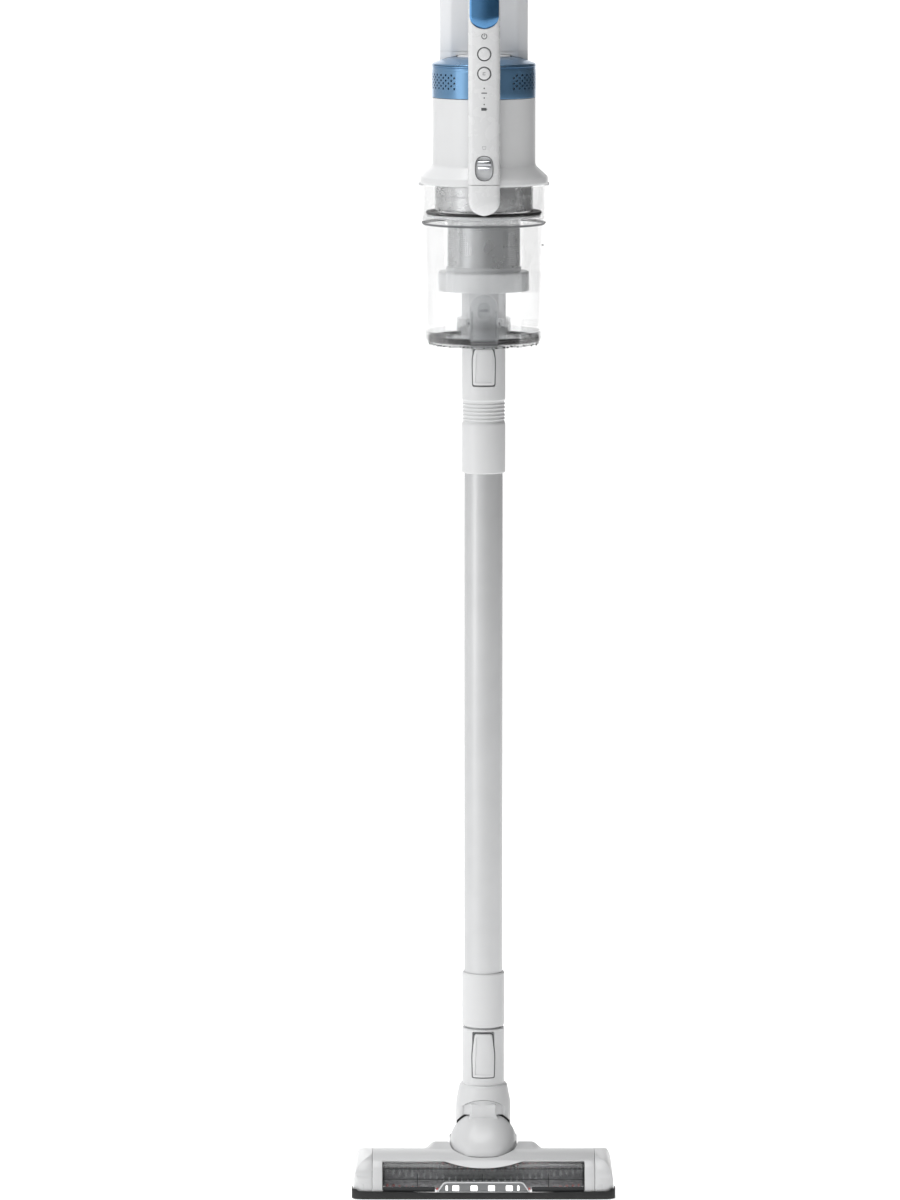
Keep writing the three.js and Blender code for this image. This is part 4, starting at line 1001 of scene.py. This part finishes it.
def window():
    profile = [
        (-60.7, 34.2, 0.4), (-66.8, 29.2, 3), (-71, 21, 4), (-72.7, 11.9, 0.4), (-71.1, 11.9, 0.3),
        (-69.5, 20.4, 4), (-65.5, 28.2, 3), (-59.8, 32.6),
    ]
    pane = slab("window_pane", rounded(profile), "yz", -94.5, 94.5, SMOKED, 0.2)
    carve(pane, slab("notch", mirrored((44.6, 0), (37.8, 17.4)), "xz", -80, -60, SMOKED, 0))
    place(pane, "floor_head", "clear_plastic", "brush_window")
    seam = [(-71.9, 16), (-73.0, 12), (-72.2, 12), (-70.9, 16.4), (-68.3, 23.4), (-68.9, 23.8)]
    trim = [slab("seam", seam, "yz", x - 0.35, x + 0.35, DARK, 0) for x in (-62.2, -1.2, 61.2)]
    for y, z, size in ((-63.4, 26.6, 0.9), (-68.6, 18.0, 0.7)):
        trim.append(box("line", (-94, y, z), (94, y + 0.8, z + size), DARK, 0.2))
    trim += twins("sill", (45.6, -71.8, 6.8), (94.6, -69.6, 11.6), DARK, 0.5)
    place(merged("window_trim", trim), "floor_head", "dark_grey_plastic")
    starts = [-92 + k * 4.09 for k in range(46)]
    ticks = [box("tick", (x, -61.6, 24.6), (x + 0.9, -60.4, 29.4), FAINT, 0.1, 1) for x in starts]
    place(merged("window_ribs", ticks), "floor_head", "inner_grey")


def lamp_bar():
    outline = rounded([(-44.2, 7.2, 1), (43.8, 7.2, 1), (37.4, 17.2, 3), (-37.4, 17.2, 3)], 6)
    back = slab("lamp_back", outline, "xz", -73.8, -72.2, DARK, 0.2)
    rim_in = rounded([(-42.4, 7.8, 1), (42.2, 7.8, 1), (36.4, 16.1, 2.6), (-36.4, 16.1, 2.6)], 6)
    rim = slab("rim", outline, "xz", -75.4, -73.4, INNER, 0.35)
    carve(rim, slab("in", rim_in, "xz", -77, -73, INNER, 0))
    chips = []
    large, small = (3.1, 8.6, 0.5, (-26.1, -8.9, 7.5, 24.2)), (0.9, 8.8, 0.4, (-34.6, 32.7))
    for half, foot, edge, places in (large, small):
        for x in places:
            chips.append(box("chip", (x - half, -74.9, foot), (x + half, -73.5, 13.6), LAMP, edge))
    face = slab("face", rim_in, "xz", -74.3, -73.6, BACKING, 0.1)
    place(merged("lamp_frame", [back, rim, face]), "floor_head", "plated_trim", "lamp_bar")
    place(merged("lamp_lights", chips), "floor_head", "clear_plastic")


def bumper():
    path = rounded([(-124, -58), (-124, -76, 13), (124, -76, 13), (124, -58)], 10)
    inner = rounded([(122.9, -58), (122.9, -73.7, 11.6), (-122.9, -73.7, 11.6), (-122.9, -58)], 10)
    strip = slab("bumper_strip", path + inner, "xy", 0.7, 9.6, RUBBER, 0)
    front = rounded(mirrored((140, -5), (140, 40), (126, 40), (120, 8.2, 4), (45, 7.0, 3)))
    combine(strip, "INTERSECT", slab("front", front, "xz", -90, 0, RUBBER, 0))
    bevel(strip, 0.5, 2, 40)
    place(strip, "floor_head", "black_rubber", "front_bumper")


BRUSH_AXIS = (0, -41, 17)
TUFT_CORNERS = ((-1, -1), (1, -1), (1, 1), (-1, 1))


def brush():
    """The brush: a core with a short grey pile and helical rows of stiff tufts."""
    pile = turned("pile", [(11.3, -93), (14.2, -93, 0.8), (14.2, 93, 0.8), (11.3, 93)], PILE_GREY, 72)
    laid(pile, "Y", *BRUSH_AXIS)
    rows = []
    random.seed(11)
    for row in range(6):
        bm = bmesh.new()
        for k in range(32):
            x = -90 + k * 5.8
            a = math.radians(row * 60 + 20 - abs(x) * 0.5)
            for _ in range(12):
                lean = a + random.uniform(-0.16, 0.16)
                place_tuft(bm, x + random.uniform(-0.8, 0.8), lean, 13.8, 15.3, 0.4)
        rows.append(link("tufts", bm, PILE_RED if row % 2 == 0 else PALE))
    place(merged("brush_pile", [pile, *rows]), "brush", "brush_fibre", "brush_fibres")


def place_tuft(bm, x, angle, root, tip, half):
    """One tapered tuft of four sides and a tip, standing out from the brush's axis."""
    out = Vector((0, math.cos(angle), math.sin(angle)))
    side = Vector((0, -math.sin(angle), math.cos(angle)))
    along = Vector((1, 0, 0))
    rings = []
    for radius, size in ((root, half), (tip, half * 0.55)):
        middle = Vector(BRUSH_AXIS) + along * x + out * radius
        rings.append([bm.verts.new((middle + (along * u + side * v) * size) * MM) for u, v in TUFT_CORNERS])
    for i in range(4):
        j = (i + 1) % 4
        bm.faces.new((rings[0][i], rings[0][j], rings[1][j], rings[1][i]))
    bm.faces.new(rings[1])


def wheels():
    for side, name in ((-1, "left"), (1, "right")):
        tyre = turned("tyre", [
            (6.4, -8), (9.3, -8, 0.8), (11, -6.4, 1.4), (11, -1), (10.5, -0.6), (10.5, 0.6), (11, 1),
            (11, 6.4, 1.4), (9.3, 8, 0.8), (6.4, 8),
        ], RUBBER, 64)
        hub = turned("hub", [
            (2.4, -7.6), (3.6, -7.6, 0.4), (4, -6.6, 0.5), (6.2, -6.9, 0.5), (6.5, -7.4), (6.5, 7.4),
            (6.2, 6.9, 0.5), (4, 6.6, 0.5), (3.6, 7.6, 0.4), (2.4, 7.6),
        ], DARK, 48)
        wheel = laid(merged("wheel_tyre_" + name, [tyre, hub]), "Y", side * 89, 36, 11)
        place(wheel, name + "_wheel", "black_rubber", "wheel_" + name)


# ---- Nodes that keep their CAD shape ----

KEPT = {
    DARK: ("head_chassis", "brush_chamber", "sole_plate", "brush_core", "battery_cover"),
    INNER: ("brush_pulley", "impeller"),
    STEEL: (
        "brush_motor", "brush_bearing", "axle_left", "axle_right", "motor_pulley", "lid_hinge_pin",
        "suction_motor",
    ),
    RUBBER: ("drive_belt", "motor_mount"),
    BOARD: ("lamp_board", "control_board"),
    FOAM: ("pre_filter",),
    PAPER: ("exhaust_filter",),
    BRASS: ("battery_terminals",),
    CELL: ("battery_cells",),
}


def finish_kept_nodes():
    for material, names in KEPT.items():
        for name in names:
            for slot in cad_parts[name].material_slots:
                slot.material = material


# ---- Studio ----


def studio():
    """A white floor, glowing a little as an overlit one does."""
    s = Shader("studio_paper").set(Roughness=0.9, Emission_Color=(1, 1, 1, 1), Emission_Strength=0.72)
    s.feed("Base Color", s.tint(s.noise(3), (0.89, 0.89, 0.89), (0.91, 0.91, 0.91)))
    bm = bmesh.new()
    bmesh.ops.create_circle(bm, cap_ends=True, segments=128, radius=6)
    link("studio_floor", bm, s.material)


def stand(name, data, location, rotation):
    obj = bpy.data.objects.new(name, data)
    obj.location, obj.rotation_euler = location, rotation
    bpy.context.scene.collection.objects.link(obj)
    return obj


def area_light(name, location, target, size, power):
    data = bpy.data.lights.new(name, "AREA")
    data.shape = "RECTANGLE"
    data.size, data.size_y = size
    data.energy = power
    aim = Vector(target) - Vector(location)
    stand(name, data, location, aim.to_track_quat("-Z", "Y").to_euler())


def lighting():
    """A white room: bright on the left and behind, dark on the right."""
    world = bpy.data.worlds.new("studio")
    bpy.context.scene.world = world
    world.use_nodes = True
    nodes, links = world.node_tree.nodes, world.node_tree.links

    def math_node(kind, *values):
        node = nodes.new("ShaderNodeMath")
        node.operation = kind
        for socket, value in zip(node.inputs, values):
            links.new(value, socket)
        return node.outputs[0]

    def fade(value, start, end, low, high):
        node = map_range(world.node_tree, value, start, end, low, high)
        node.interpolation_type = "SMOOTHSTEP"
        return node.outputs["Result"]

    direction = nodes.new("ShaderNodeSeparateXYZ")
    links.new(nodes.new("ShaderNodeTexCoord").outputs["Generated"], direction.inputs[0])
    left = fade(direction.outputs["X"], -0.35, 0.2, 0.68, 0.06)
    behind = fade(direction.outputs["Y"], 0.80, 0.96, 0.0, 1.0)
    seen = nodes.new("ShaderNodeLightPath").outputs["Is Camera Ray"]
    strength = math_node("MAXIMUM", math_node("ADD", left, behind), seen)
    links.new(strength, nodes["Background"].inputs["Strength"])
    nodes["Background"].inputs["Color"].default_value = (1, 1, 1, 1)
    area_light("key_left", (-2.8, -2.0, 1.0), (0, 0, 0.5), (1.4, 3.0), 16)
    area_light("front_top", (-0.2, -3.4, 3.2), (0, 0, 0.6), (2.4, 1.2), 7)
    area_light("overhead", (-0.3, -0.4, 3.4), (0, 0, 0), (1.8, 1.8), 48)
    bpy.context.scene.view_settings.view_transform = "Standard"


def camera():
    """Level with the bin's top, far off, and tilted a little down."""
    data = bpy.data.cameras.new("camera")
    data.lens = 195
    data.sensor_width = 36
    data.clip_end = 100
    tilt = (math.radians(90 - 7.5), 0, 0)
    bpy.context.scene.camera = stand("camera", data, (-0.0315, -6.0577, 1.3563), tilt)


camera()
lighting()
studio()
for build in (
    motor_case, exhaust_band, motor_cap, control_strip, gloss_insert, buttons, strip_marks, release_slider,
    handle, battery_dock, battery, clear_bin, lid, lid_latch, cyclone, wand, neck, elbow, head_cover,
    end_caps, window, lamp_bar, bumper, brush, wheels, finish_kept_nodes, levers,
):
    build()
